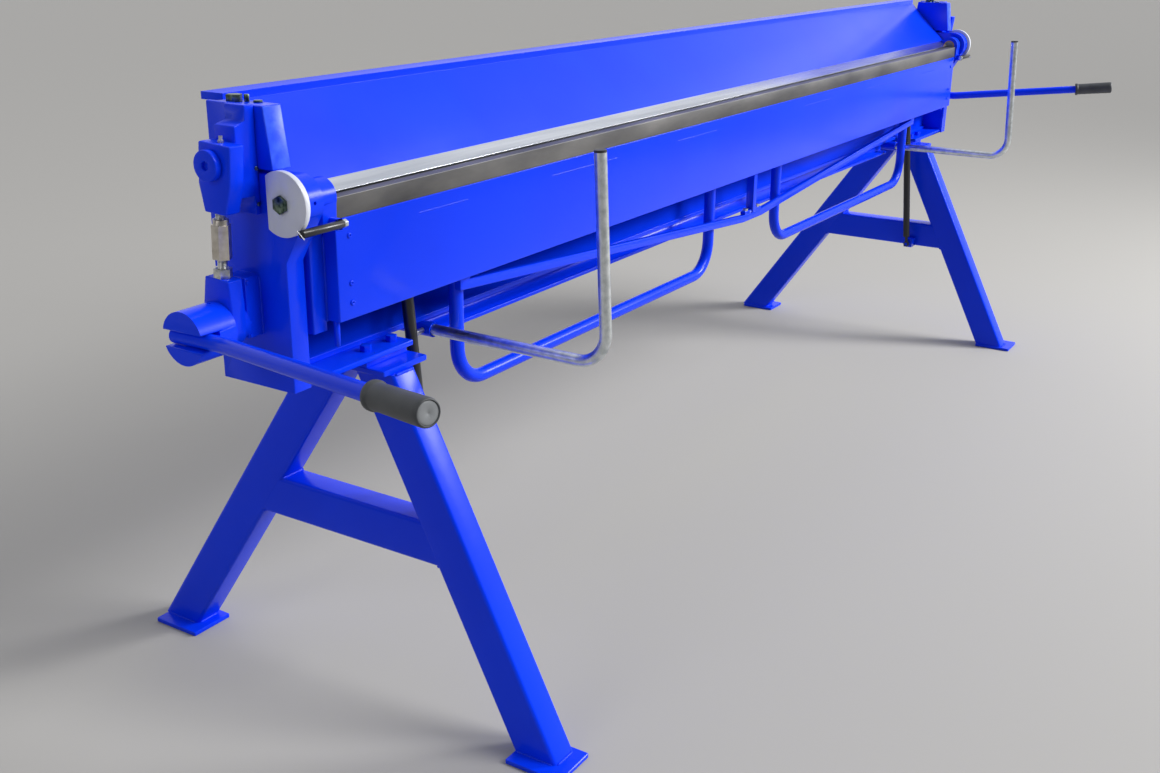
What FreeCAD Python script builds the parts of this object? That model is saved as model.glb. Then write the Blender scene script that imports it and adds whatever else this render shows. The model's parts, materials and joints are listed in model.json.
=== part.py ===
"""Roofing sheet metal brake: a three metre hand folding machine on two trestles.

Millimetres. X runs along the machine with 0 at its middle, Y runs back, Z runs up with 0 at
the floor. Depths are written from the fold line, the edge about which the wing turns, so each
piece is placed at fold_y plus its own depth. The right end is drawn and the left mirrors it.
"""
import FreeCAD
import Part
import math
import os
import re
import Sketcher

Vector = FreeCAD.Vector
Rotation = FreeCAD.Rotation
Placement = FreeCAD.Placement

# Driving dimensions, in millimetres and degrees. A text is a formula of the sizes above it.
SIZES = {
    # fold line and the wing that turns about it
    "fold_y": -74.06,
    "fold_height": 994,
    "wing_half": 1571,
    "wing_thick": 29,
    "wing_face": 22.5,
    "wing_drop": 202,
    "bar_drop": 36,
    "fold_gap": 2.5,
    "arm_thick": 31,
    "arm_head": 29,
    "arm_nose": 27.5,
    "arm_drop": 219,
    "arm_front": 5,
    "arm_depth": 41,
    "arm_shoulder": 59,
    "face_screw": 5,
    "face_screw_head": 2.5,
    "screw_drop_high": 66,
    "screw_drop_middle": 143,
    "screw_drop_low": 175,
    "face_screw_inset": 30,
    "stop_screw_length": 44,
    "stop_screw_inset": 10,
    "stop_screw_front": 5,
    "arm_nose_low": 39,
    "arm_nose_rise": 6,
    "arm_nose_slope": 9,
    "pin_radius": 14,
    "bush_wall": 4,
    "running_fit": 0.05,
    "side_gap": 0.3,
    # side frames
    "hinge_space": 41,
    "side_inner": "=wing_half + hinge_space",
    "side_thick": 38,
    "side_front": 8,
    "side_rear": 163,
    "side_rise": 40,
    "lug_radius": 41,
    "lug_angle": 59.4,
    "index_radius": 3,
    "index_deep": 12,
    "base_height": 690,
    "base_thick": 10,
    "base_front": 14.5,
    "base_reach": 262,
    "base_inner": "=side_inner - base_reach",
    "pad_thick": 16,
    "pad_front": 30,
    "pad_rear": 150,
    "washer_radius": 27,
    # angle disc
    "disc_radius": 50,
    "disc_thick": 10,
    "disc_flat": 29,
    "disc_bolt": 10,
    "disc_bolt_flats": 25,
    "disc_bolt_head": 5,
    "disc_bolt_grip": 25,
    # trestles
    "leg_inset": 200,
    "leg_middle": "=side_inner - leg_inset",
    "leg_tube": 80,
    "leg_width": 60,
    "leg_wall": 4,
    "front_lean": 26.9,
    "rear_lean": 34.8,
    "front_leg_top": 30,
    "rear_leg_top": 136,
    "crossbar_height": 325,
    "foot_thick": 9,
    "foot_length": 114,
    "foot_width": 96,
    "foot_forward": 15,
    "foot_outward": 12,
    "head_reach_in": 71,
    "head_reach_out": 45,
    "head_inner": "=leg_middle - head_reach_in",
    "head_outer": "=leg_middle + head_reach_out",
    "head_front": 8,
    "head_rear": 186,
    "head_thick": 10,
    "frame_bolt": 6,
    "frame_bolt_flats": 18,
    "frame_bolt_head": 11,
    "frame_bolt_reach_in": 35,
    "frame_bolt_reach_out": 32,
    "frame_bolt_inner": "=leg_middle - frame_bolt_reach_in",
    "frame_bolt_outer": "=leg_middle + frame_bolt_reach_out",
    "frame_bolt_front": 41.5,
    "frame_bolt_rear": 136,
    # lower beam and bed
    "bed_front": 9,
    "bed_depth": 60,
    "bed_thick": 25,
    "beam_plate": 12,
    "beam_web": 10,
    "web_depth": 78,
    "keel_depth": 90,
    "flange_front": 70,
    "keel_inset": 351,
    "keel_half": "=wing_half - keel_inset",
    "keel_drop": 36,
    "keel_thick": 8,
    # clamping beam
    "clamp_gap": 0.3,
    "nose_rise": 14.2,
    "nose_depth": 32.5,
    "nose_back": 60,
    "sheet_top_y": 156.5,
    "sheet_top_rise": 133.5,
    "sheet_thick": 8,
    "flange_depth": 48,
    "flange_thick": 12,
    "nose_setback": 2,
    "clamp_web_back": 22,
    "end_plate_rise": 6,
    "end_plate_top": 1134,
    "end_plate_front": 21.5,
    "end_plate_rear": 137,
    "end_plate_lean": 13,
    "top_bolt_place": 106,
    "top_bolt_flats": 22,
    "top_bolt_head": 11,
    "top_stud_place": 90,
    "top_stud": 4,
    "top_screw_place": 72,
    "top_screw": 7,
    "top_screw_head": 3,
    "top_bolt_inset": 24,
    "top_stud_inset": 14,
    "top_screw_inset": 9,
    "side_screw_drop": 12,
    "side_screw_rise": 16,
    # slide blocks
    "slide_front": 51.5,
    "slide_depth": 90.5,
    "slide_skin": 10,
    "slide_low": 972,
    "slide_high": 1136,
    "slide_neck": 19.5,
    "slide_block_outer": 41.7,
    "slide_boss_depth": 42,
    "slide_boss_low": 1001,
    "slide_shoulder": 1108,
    "slide_shoulder_rise": 6,
    "key_width": 20,
    "key_thick": 5,
    "key_front": 110,
    "key_inset": 4,
    # link, which leans from its pin back to the crank
    "link_depth": 75,
    "link_pin_height": 1054,
    "link_pin": 12,
    "link_thick": 28.5,
    "link_half": 32.5,
    "link_foot": 22,
    "link_shift": 4.3,
    "link_top_shift": 7.6,
    "link_top": 32,
    "link_taper": 30,
    "link_drop": 72,
    "link_screw_grip": 30,
    "cap_radius": 23.5,
    "cap_thick": 12,
    "cap_socket": 8,
    "cap_socket_depth": 7,
    "link_screw": 8,
    "turnbuckle_flats": 26,
    "turnbuckle_low": 910,
    "turnbuckle_length": 53,
    "turnbuckle_collar": 8,
    "lock_nut_flats": 25,
    "lock_nut_thick": 14.5,
    "strap_top": 881,
    "strap_thick": 28,
    "strap_half": 25,
    "strap_eye": 30,
    "strap_flare": 38,
    "strap_play": 2,
    "strap_screw_grip": 24,
    "nipple_flats": 8,
    "nipple_head": 3,
    "nipple_tall": 10,
    # lever
    "shaft_depth": 89,
    "shaft_height": 804,
    "shaft_radius": 14,
    "shaft_bush": 3,
    "bearing_thick": 30.5,
    "bearing_front": 67,
    "bearing_rear": 112,
    "bearing_low": 779,
    "bearing_high": 876,
    "bearing_screw_drop": 8,
    "small_screw": 3.2,
    "small_screw_head": 2,
    "screw_inset": 4.5,
    "crank_throw": 4.5,
    "crank_pin": 10,
    "cheek_radius": 28,
    "hub_radius": 42,
    "hub_gap": 1,
    "hub_length": 70,
    "slot_depth": 36,
    "slot_drop": 3,
    "slot_play": 0.2,
    "oil_place": 14,
    "oil_radius": 3,
    "oil_deep": 8,
    "lever_tube": 25,
    "lever_wall": 3,
    "lever_pitch": 1,
    "lever_tail": 36,
    "lever_bend": 66,
    "lever_bend_radius": 60,
    "lever_reach": 575,
    "lever_spread": 156,
    "lever_rise": 52.6,
    "grip_radius": 19,
    "grip_flange": 20.5,
    "grip_length": 120,
    "grip_end": 3,
    "grip_collar": 8,
    # wing handles and truss
    "handle_tube": 26.9,
    "handle_wall": 2.6,
    "handle_near": 197,
    "handle_inset": 353,
    "handle_far": "=wing_half - handle_inset",
    "handle_low": 575,
    "handle_bend": 75,
    "handle_weld": 58,
    "bow_inset": 331,
    "bow_half": "=wing_half - bow_inset",
    "bow_end_drop": 8,
    "bow_sag": 94,
    "bow_seat": 55,
    "bow_tall": 18,
    "bow_thick": 14,
    "bow_setback": 8,
    "bow_foot": 30,
    "post_wide": 20,
    "post_foot_half": 48,
    "post_foot_thick": 8,
    "post_screw_x": 34,
    "post_screw_radius": 3,
    "post_screw_depth": 12,
    "post_head_flats": 13,
    "post_head_thick": 6,
    # stop rods
    "stop_depth": 44,
    "stop_drop": 38,
    "stop_radius": 6.5,
    "stop_length": 89,
    "stop_lug_start": 7,
    "stop_lug_wide": 12,
    "stop_lug_half": 9,
    "stop_tip_flats": 12,
    "stop_tip_length": 8,
    "stop_tip_overlap": 1,
    "pointer_radius": 1.2,
    "pointer_length": 18,
    "pointer_start": 50,
    # gas springs
    "spring_inset": 84,
    "spring_x": "=leg_middle - spring_inset",
    "spring_foot_y": 5,
    "spring_foot_height": 340,
    "spring_top_y": 55,
    "spring_top_drop": 94,
    "spring_tube": 11,
    "spring_rod": 5,
    "spring_eye": 9,
    "spring_eye_thick": 10,
    "spring_arm_half": 14,
    "spring_lug_place": 12,
    "spring_lug_thick": 8,
    "spring_lug_half": 11,
    "spring_tube_start": 26,
    "spring_tube_spare": 62,
    "spring_wall": 1.5,
    "spring_tube_end": 8,
    "piston_place": 230,
    "piston_thick": 12,
    "spring_collar": 7,
    "spring_collar_length": 17,
    # sheet supports
    "support_inset": 321,
    "support_x": "=wing_half - support_inset",
    "support_tube": 21.3,
    "support_wall": 2.6,
    "support_fit": 0.35,
    "socket_wall": 3,
    "socket_front": 48,
    "socket_length": 110,
    "socket_screw": 5,
    "socket_screw_place": 16,
    "socket_screw_reach": 22,
    "socket_screw_flats": 16,
    "socket_screw_head": 8,
    "support_reach": 321.5,
    "support_bend": 55,
    "support_top": 1045,
    "support_lean": 3,
    "support_end": 10,
    "plug_head": 4,
    "plug_depth": 16,
}

doc = FreeCAD.newDocument("sheet_metal_brake")
sheet = doc.addObject("Spreadsheet::Sheet", "Sizes")
for row, (word, number) in enumerate(SIZES.items(), start=1):
    sheet.set("A%d" % row, word)
    sheet.set("B%d" % row, str(number))
    sheet.setAlias("B%d" % row, word)
doc.recompute()

kept = []


def formula(text):
    """The text with every size's name pointed at its cell."""
    def cell(found):
        return "Sizes." + found.group() if found.group() in SIZES else found.group()
    return re.sub(r"[a-z][a-z0-9_]*", cell, text)


def size(text):
    """The number that a formula gives now."""
    return float(sheet.evalExpression(formula(text)))


# Heights and places that several pieces share, as formulas of the sizes.
WING_BACK = "(wing_thick - wing_face)"
ARM_OUTER = "(wing_half + arm_thick)"
SIDE_OUTER = "(side_inner + side_thick)"
SLIDE_INNER = "(side_inner + side_thick + side_gap)"
SLIDE_OUTER = "(side_inner + side_thick + slide_block_outer)"
END_INNER = "(side_inner - side_gap)"
BASE_TOP = "(base_height + base_thick)"
HEAD_TOP = "(base_height - pad_thick)"
HEAD_LOW = "(base_height - pad_thick - head_thick)"
BED_LOW = "(fold_height - bed_thick)"
BEAM_TOP = "(fold_height - bed_thick - beam_plate)"
CLAMP_LOW = "(fold_height + clamp_gap)"
SHEET_LOW = "(fold_height + clamp_gap + nose_rise)"
SHEET_TOP = "(fold_height + sheet_top_rise)"
LINK_INNER = "(side_inner + side_thick + slide_block_outer + side_gap)"
LINK_X = "(side_inner + side_thick + slide_block_outer + side_gap + link_thick / 2)"
CRANK_HEIGHT = "(shaft_height - crank_throw)"
LINK_LENGTH = "sqrt((shaft_depth - link_depth)^2 + (link_pin_height - %s)^2)" % CRANK_HEIGHT
STRAP_EYE_HEIGHT = "(link_pin_height - %s)" % LINK_LENGTH
HUB_INNER = "(%s + strap_thick / 2 + hub_gap)" % LINK_X
BEARING_OUTER = "(side_inner + side_thick + bearing_thick)"
SOCKET_RADIUS = "(support_tube / 2 + support_fit + socket_wall)"
SOCKET_HEIGHT = "(base_height + base_thick - %s)" % SOCKET_RADIUS


def seat(item, x, y, z):
    """Bind an object's place: x and z from the origin, y from the fold line."""
    item.setExpression("Placement.Base.x", formula(x))
    item.setExpression("Placement.Base.y", formula("fold_y + (%s)" % y))
    item.setExpression("Placement.Base.z", formula(z))
    return item


TURNS = {
    "x": Rotation(Vector(0, 1, 0), 90),
    "y": Rotation(Vector(1, 0, 0), -90),
    "z": Rotation(Vector(0, 0, 1), 30),
}


def block(name, x, y, z):
    """A box between two formulas on each axis."""
    box = doc.addObject("Part::Box", name)
    for side, (low, high) in zip(("Length", "Width", "Height"), (x, y, z)):
        box.setExpression(side, formula("(%s) - (%s)" % (high, low)))
    return seat(box, x[0], y[0], z[0])


def rod(name, along, radius, length, x, y, z):
    """A round bar that starts at x, y, z and runs along one axis."""
    item = doc.addObject("Part::Cylinder", name)
    item.setExpression("Radius", formula(radius))
    item.setExpression("Height", formula(length))
    item.Placement = Placement(Vector(), TURNS[along])
    return seat(item, x, y, z)


def hexagon(name, along, flats, length, x, y, z):
    """A six-sided bar that is as wide over its flats as stated."""
    item = doc.addObject("Part::Prism", name)
    item.Polygon = 6
    item.setExpression("Circumradius", formula("(%s) / sqrt(3)" % flats))
    item.setExpression("Height", formula(length))
    item.Placement = Placement(Vector(), TURNS[along])
    return seat(item, x, y, z)


def padded_outline(name, plane_role, points, depth):
    """A body whose closed outline of straight edges is bound to formulas, point by point."""
    body = doc.addObject("PartDesign::Body", name)
    outline = body.newObject("Sketcher::SketchObject", name + "_outline")
    plane = [item for item in body.Origin.OriginFeatures if item.Role == plane_role][0]
    outline.AttachmentSupport = [(plane, "")]
    outline.MapMode = "FlatFace"
    spots = [(size(across), size(up)) for across, up in points]
    count = len(spots)
    for start, end in zip(spots, spots[1:] + spots[:1]):
        outline.addGeometry(Part.LineSegment(Vector(*start, 0), Vector(*end, 0)))
    for edge in range(count):
        outline.addConstraint(Sketcher.Constraint("Coincident", edge, 2, (edge + 1) % count, 1))
    for edge, (spot, texts) in enumerate(zip(spots, points)):
        for kind, number, text in zip(("DistanceX", "DistanceY"), spot, texts):
            place = outline.addConstraint(Sketcher.Constraint(kind, -1, 1, edge, 1, number))
            outline.setExpression("Constraints[%d]" % place, formula(text))
    pad = body.newObject("PartDesign::Pad", name + "_pad")
    pad.Profile = outline
    pad.setExpression("Length", formula(depth))
    return body


def plate(name, points, start, depth):
    """An outline of (y, z) points, thickened along +X from start."""
    return seat(padded_outline(name, "YZ_Plane", points, depth), start, "0", "0")


def profile(name, points, start, depth):
    """An outline of (x, z) points, thickened along +Y from start."""
    body = padded_outline(name, "XZ_Plane", points, depth)
    return seat(body, "0", "(%s) + (%s)" % (start, depth), "0")


def cut(name, base, *tools):
    """The base less each tool in turn."""
    for number, tool in enumerate(tools):
        item = doc.addObject("Part::Cut", "%s_cut_%d" % (name, number))
        item.Base = base
        item.Tool = tool
        base = item
    return base


def fuse(name, *parts):
    """Several shapes welded into one."""
    item = doc.addObject("Part::MultiFuse", name)
    item.Shapes = list(parts)
    item.Refine = True
    return item


def group(name, *parts):
    """Several separate solids that share one node."""
    item = doc.addObject("Part::Compound", name)
    item.Links = list(parts)
    return item


def mirrored(source, name):
    """The same piece at the left end."""
    item = doc.addObject("Part::Mirroring", name)
    item.Source = source
    item.Normal = Vector(1, 0, 0)
    return item


def shaped(name, shape):
    """A piece whose shape is worked out in code, in depths from the fold line."""
    item = doc.addObject("Part::Feature", name)
    item.Shape = shape
    item.Placement = Placement(Vector(0, size("fold_y"), 0), Rotation())
    return item


def keep(node, item):
    """Name a finished sub-part, and set aside the label of any step that led to it."""
    for other in doc.getObjectsByLabel(node):
        other.Label = node + "_stock"
    item.Label = node
    kept.append((node, item))


def keep_sides(piece, item):
    """Keep a piece at the right end and its mirror image at the left."""
    keep("right_" + piece, item)
    keep("left_" + piece, mirrored(item, piece + "_mirror"))


def keep_pair(node, item):
    """Keep both ends' solids of one piece as one node."""
    keep(node, group(node + "_pair", item, mirrored(item, node + "_mirror")))


def bent_path(corners, radius):
    """A wire of straight runs with a tangent arc at each inner corner."""
    edges = []
    start = corners[0]
    for before, corner, after in zip(corners, corners[1:], corners[2:]):
        inward = (before - corner).normalize()
        outward = (after - corner).normalize()
        half = inward.getAngle(outward) / 2
        reach = radius / math.tan(half)
        first = corner + inward * reach
        last = corner + outward * reach
        centre = corner + (inward + outward).normalize() * (radius / math.sin(half))
        middle = centre + (corner - centre).normalize() * radius
        edges.append(Part.LineSegment(start, first).toShape())
        edges.append(Part.Arc(first, middle, last).toShape())
        start = last
    edges.append(Part.LineSegment(start, corners[-1]).toShape())
    return Part.Wire(edges)


def swept(path, radius):
    """A round bar along a path."""
    first = path.Edges[0]
    ring = Part.makeCircle(radius, first.valueAt(first.FirstParameter),
                           first.tangentAt(first.FirstParameter))
    return path.makePipeShell([Part.Wire(ring)], True, False)


def bent_tube(corners, bend_radius, diameter, wall):
    """A tube of even wall along a bent path."""
    path = bent_path(corners, bend_radius)
    return swept(path, diameter / 2).cut(swept(path, diameter / 2 - wall))


# Trestles: two leaning rectangular tubes, a crossbar, foot plates and a head plate, welded.
def leg(name, lean, top, sign, inset):
    """One leaning leg between the foot plate and the head plate, its faces set in by the inset."""
    wide = "(leg_tube / 2 - %s) / cos(%s * 1 deg)" % (inset, lean)
    run = "(%s - foot_thick) * tan(%s * 1 deg)" % (HEAD_LOW, lean)
    points = [
        ("%s %s %s - %s" % (top, sign, run, wide), "foot_thick"),
        ("%s %s %s + %s" % (top, sign, run, wide), "foot_thick"),
        ("%s + %s" % (top, wide), HEAD_LOW),
        ("%s - %s" % (top, wide), HEAD_LOW),
    ]
    return plate(name, points, "leg_middle - leg_width / 2 + " + inset, "leg_width - 2 * " + inset)


def crossbar(name, inset):
    """The bar between the legs, its ends cut along them and its other faces set in by the inset."""
    def front(height):
        run = "(%s - (%s)) * tan(front_lean * 1 deg)" % (HEAD_LOW, height)
        return "front_leg_top - %s + leg_tube / 2 / cos(front_lean * 1 deg)" % run

    def rear(height):
        run = "(%s - (%s)) * tan(rear_lean * 1 deg)" % (HEAD_LOW, height)
        return "rear_leg_top + %s - leg_tube / 2 / cos(rear_lean * 1 deg)" % run
    low = "crossbar_height + " + inset
    high = "crossbar_height + leg_tube - " + inset
    points = [(front(low), low), (rear(low), low), (rear(high), high), (front(high), high)]
    return plate(name, points, "leg_middle - leg_width / 2 + " + inset, "leg_width - 2 * " + inset)


def foot(name, lean, top, sign):
    """A flat foot plate under a leg, set a little forward and outward of it."""
    across = "leg_middle + foot_outward"
    middle = "%s %s (%s - foot_thick) * tan(%s * 1 deg) - foot_forward" % (top, sign, HEAD_LOW, lean)
    return block(
        name,
        (across + " - foot_width / 2", across + " + foot_width / 2"),
        (middle + " - foot_length / 2", middle + " + foot_length / 2"),
        ("0", "foot_thick"),
    )


front_leg = cut("front_leg", leg("front_leg_outside", "front_lean", "front_leg_top", "-", "0"),
                leg("front_leg_inside", "front_lean", "front_leg_top", "-", "leg_wall"))
rear_leg = cut("rear_leg", leg("rear_leg_outside", "rear_lean", "rear_leg_top", "+", "0"),
               leg("rear_leg_inside", "rear_lean", "rear_leg_top", "+", "leg_wall"))
cross = cut("crossbar", crossbar("crossbar_outside", "0"), crossbar("crossbar_inside", "leg_wall"))
head = block("head_plate", ("head_inner", "head_outer"), ("-head_front", "head_rear"), (HEAD_LOW, HEAD_TOP))


def frame_bolt_spots():
    """Where the bolts that hold the side frame on its trestle stand: x, y and the head's seat."""
    flange_top = BASE_TOP + " + beam_web"
    return [
        ("frame_bolt_inner", "frame_bolt_front", BASE_TOP),
        ("frame_bolt_outer", "frame_bolt_front", BASE_TOP),
        ("frame_bolt_inner", "frame_bolt_rear", flange_top),
        ("frame_bolt_outer", "frame_bolt_rear", flange_top),
    ]


def bolt_holes(name):
    """Cutters for the frame bolts' shanks."""
    return group(name, *[
        rod("%s_%d" % (name, number), "z", "frame_bolt", "%s - %s" % (seat_z, HEAD_LOW), x, y, HEAD_LOW)
        for number, (x, y, seat_z) in enumerate(frame_bolt_spots())
    ])


trestle = fuse("trestle", front_leg, rear_leg, cross, head,
               foot("front_foot", "front_lean", "front_leg_top", "-"),
               foot("rear_foot", "rear_lean", "rear_leg_top", "+"))
keep_sides("trestle", cut("trestle", trestle, bolt_holes("trestle_holes")))

# Side frames: a thick post plate with the hinge lug, a base plate and the shaft's bearing block.
LUG_SIN = "sin(lug_angle * 1 deg)"
LUG_COS = "cos(lug_angle * 1 deg)"
LUG_TOUCH = "(fold_height - lug_radius * %s)" % LUG_COS
LUG_FOOT = "%s - (side_front + lug_radius * %s) * tan(lug_angle * 1 deg)" % (LUG_TOUCH, LUG_SIN)
post = plate(
    "post",
    [
        ("side_front", "base_height"),
        ("side_rear", "base_height"),
        ("side_rear", "fold_height + side_rise"),
        ("0", "fold_height + side_rise"),
        ("-lug_radius * " + LUG_SIN, LUG_TOUCH),
        ("side_front", LUG_FOOT),
    ],
    "side_inner",
    "side_thick",
)
lug = rod("lug", "x", "lug_radius", "side_thick", "side_inner", "0", "fold_height")
base = block("base_plate", ("base_inner", "side_inner"), ("base_front", "side_rear"),
             ("base_height", BASE_TOP))
pad = block("spacer_block", ("base_inner", "head_outer"), ("pad_front", "pad_rear"),
            (HEAD_TOP, "base_height"))
keep_pair("spacer_plates", cut("spacer_plate", pad, bolt_holes("spacer_holes")))
bearing = plate(
    "bearing",
    [
        ("bearing_front", "bearing_low"),
        ("bearing_rear", "bearing_low"),
        ("bearing_rear", "bearing_high"),
        ("bearing_front", "bearing_high"),
    ],
    SIDE_OUTER,
    "bearing_thick",
)
side_frame = fuse("side_frame", post, lug, base, bearing)
side_frame = cut(
    "side_frame",
    side_frame,
    rod("pin_hole", "x", "pin_radius", "side_thick", "side_inner", "0", "fold_height"),
    rod("bush_hole", "x", "shaft_radius + running_fit + shaft_bush", "side_thick + bearing_thick",
        "side_inner", "shaft_depth", "shaft_height"),
    rod("index_hole", "y", "index_radius", "index_deep", "side_inner + side_thick / 2", "-lug_radius",
        "fold_height + 2"),
    bolt_holes("side_frame_holes"),
)
keep_sides("side_frame", side_frame)

# Lower beam: a box of welded plates with a shallow keel, and the hard bed bar on its top.
BED_HALF = "(wing_half - side_gap)"
beam_top = block("beam_top", ("-" + BED_HALF, BED_HALF), ("bed_front", "side_rear"), (BEAM_TOP, BED_LOW))
front_web = block("front_web", ("-side_inner", "side_inner"), ("web_depth", "web_depth + beam_web"),
                  (BASE_TOP + " + beam_web", BEAM_TOP))
bottom_flange = block("bottom_flange", ("-side_inner", "side_inner"), ("flange_front", "side_rear"),
                      (BASE_TOP, BASE_TOP + " + beam_web"))
keel_web = block("keel_web", ("-keel_half", "keel_half"), ("keel_depth", "keel_depth + keel_thick"),
                 (BASE_TOP + " - keel_drop + keel_thick", BASE_TOP))
keel = block("keel", ("-keel_half", "keel_half"), ("flange_front", "pad_rear"),
             (BASE_TOP + " - keel_drop", BASE_TOP + " - keel_drop + keel_thick"))
lower_beam = fuse("lower_beam", beam_top, front_web, bottom_flange, keel_web, keel)
beam_holes = bolt_holes("beam_holes")
keep("lower_beam", cut("lower_beam", lower_beam, beam_holes, mirrored(beam_holes, "beam_holes_left")))
keep("bed_bar", block("bed_bar", ("-" + BED_HALF, BED_HALF), ("bed_front", "bed_front + bed_depth"),
                      (BED_LOW, "fold_height")))

# Frame bolts: hex heads over shanks that end flush with the head plate's underside, and the
# small screws in the bearing block's front.
SCREW_X = BEARING_OUTER + " - screw_inset"
SCREW_HEIGHTS = ("bearing_high - bearing_screw_drop", "shaft_height", "bearing_low + screw_inset")
bolts = [
    rod("bearing_screw_%d" % number, "y", "small_screw", "small_screw_head", SCREW_X,
        "bearing_front - small_screw_head", height)
    for number, height in enumerate(SCREW_HEIGHTS)
]
for number, (x, y, seat_z) in enumerate(frame_bolt_spots()):
    grip = "%s - %s" % (seat_z, HEAD_LOW)
    shank = rod("frame_shank_%d" % number, "z", "frame_bolt", grip, x, y, HEAD_LOW)
    bolt_head = hexagon("frame_head_%d" % number, "z", "frame_bolt_flats", "frame_bolt_head", x, y, seat_z)
    bolts.append(fuse("frame_bolt_%d" % number, shank, bolt_head))
keep_pair("frame_bolts", group("frame_bolts_right", *bolts))

# Hinge: pin in the lug, thrust washer, angle disc with its flat to the rear, and the disc's bolt.
PIN_LENGTH = "%s - wing_half - side_gap" % SIDE_OUTER
hinge_pin = cut(
    "hinge_pin",
    rod("hinge_pin_bar", "x", "pin_radius", PIN_LENGTH, "wing_half + side_gap", "0", "fold_height"),
    rod("hinge_pin_thread", "x", "disc_bolt", "disc_bolt_grip", "%s - disc_bolt_grip" % SIDE_OUTER,
        "0", "fold_height"),
)
keep_pair("hinge_pins", hinge_pin)
washer = cut(
    "thrust_washer",
    rod("washer_disc", "x", "washer_radius", "side_inner - %s - side_gap" % ARM_OUTER,
        "%s + side_gap" % ARM_OUTER, "0", "fold_height"),
    rod("washer_hole", "x", "pin_radius", "side_inner - %s" % ARM_OUTER, ARM_OUTER, "0", "fold_height"),
)
keep_pair("thrust_washers", washer)
disc = cut(
    "angle_disc",
    rod("disc_round", "x", "disc_radius", "disc_thick", SIDE_OUTER, "0", "fold_height"),
    block("disc_flat_cut", (SIDE_OUTER, SIDE_OUTER + " + disc_thick"), ("disc_flat", "disc_radius + 1"),
          ("fold_height - disc_radius", "fold_height + disc_radius")),
    rod("disc_hole", "x", "disc_bolt", "disc_thick", SIDE_OUTER, "0", "fold_height"),
)
keep_pair("angle_discs", disc)
GRIP_START = "%s - disc_bolt_grip" % SIDE_OUTER
disc_bolt = fuse(
    "disc_bolt",
    rod("disc_bolt_shank", "x", "disc_bolt", "disc_thick + disc_bolt_grip", GRIP_START, "0", "fold_height"),
    hexagon("disc_bolt_hex", "x", "disc_bolt_flats", "disc_bolt_head", SIDE_OUTER + " + disc_thick", "0",
            "fold_height"),
)
keep_pair("disc_bolts", disc_bolt)

# Bushes of the lever shafts.
bush = cut(
    "shaft_bush",
    rod("bush_outside", "x", "shaft_radius + running_fit + shaft_bush", "side_thick + bearing_thick",
        "side_inner", "shaft_depth", "shaft_height"),
    rod("bush_inside", "x", "shaft_radius + running_fit", "side_thick + bearing_thick",
        "side_inner", "shaft_depth", "shaft_height"),
)
keep_pair("shaft_bushes", bush)

# Guide keys: upright bars on the side frames that the slide blocks run on.
guide_key = block("guide_key", (SIDE_OUTER, SIDE_OUTER + " + key_thick"),
                  ("key_front", "key_front + key_width"),
                  ("slide_low + key_inset", "fold_height + side_rise - key_inset"))
keep_pair("guide_keys", guide_key)

# Sockets of the sheet supports, welded under the lower beam, and their clamp screws.
SCREW_Y = "(socket_front + socket_screw_place)"
SCREW_START = "(support_x + support_tube / 2 + side_gap)"
socket = cut(
    "socket",
    rod("socket_tube", "y", SOCKET_RADIUS, "socket_length", "support_x", "socket_front", SOCKET_HEIGHT),
    rod("socket_bore", "y", "support_tube / 2 + support_fit", "socket_length", "support_x", "socket_front",
        SOCKET_HEIGHT),
    rod("socket_screw_hole", "x", "socket_screw", "2 * socket_wall", "support_x + support_tube / 2",
        SCREW_Y, SOCKET_HEIGHT),
)
keep_pair("support_sockets", socket)
socket_screw = fuse(
    "socket_screw",
    rod("socket_screw_shank", "x", "socket_screw", "socket_screw_reach", SCREW_START, SCREW_Y,
        SOCKET_HEIGHT),
    hexagon("socket_screw_hex", "x", "socket_screw_flats", "socket_screw_head",
            SCREW_START + " + socket_screw_reach", SCREW_Y, SOCKET_HEIGHT),
)
keep_pair("socket_screws", socket_screw)

# Brackets and ball studs that carry the gas springs' feet on the crossbars.
spring_bracket = fuse(
    "spring_bracket",
    block("spring_arm", ("spring_x + spring_arm_half", "leg_middle - leg_width / 2"),
          ("spring_foot_y - spring_arm_half", "spring_foot_y + spring_arm_half"),
          ("spring_foot_height - spring_arm_half", "spring_foot_height + spring_arm_half")),
    rod("spring_stud", "x", "spring_rod", "spring_arm_half + spring_eye_thick / 2 + 1",
        "spring_x - spring_eye_thick / 2 - 1", "spring_foot_y", "spring_foot_height"),
)
keep_pair("spring_brackets", spring_bracket)

# Folding wing: painted plate with the gas springs' lugs, and the bare steel edge bar.
WING_LOW = "(fold_height - wing_drop)"
BAR_LOW = "(fold_height - bar_drop)"
wing_sheet = block("wing_sheet", ("-wing_half", "wing_half"), ("-wing_face", WING_BACK),
                   (WING_LOW, BAR_LOW))
SPRING_TOP = "(fold_height - spring_top_drop)"
LUG_START = "spring_x + spring_lug_place"
spring_lug = block("spring_lug", (LUG_START, LUG_START + " + spring_lug_thick"),
                   (WING_BACK, "spring_top_y + spring_lug_half"),
                   (SPRING_TOP + " - spring_lug_half", SPRING_TOP + " + spring_lug_half"))
keep("wing_plate", fuse("wing_plate", wing_sheet, spring_lug, mirrored(spring_lug, "spring_lug_left")))
keep("wing_edge_bar", block("wing_edge_bar", ("-wing_half", "wing_half"), ("-wing_face", WING_BACK),
                            (BAR_LOW, "fold_height - fold_gap")))

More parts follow.
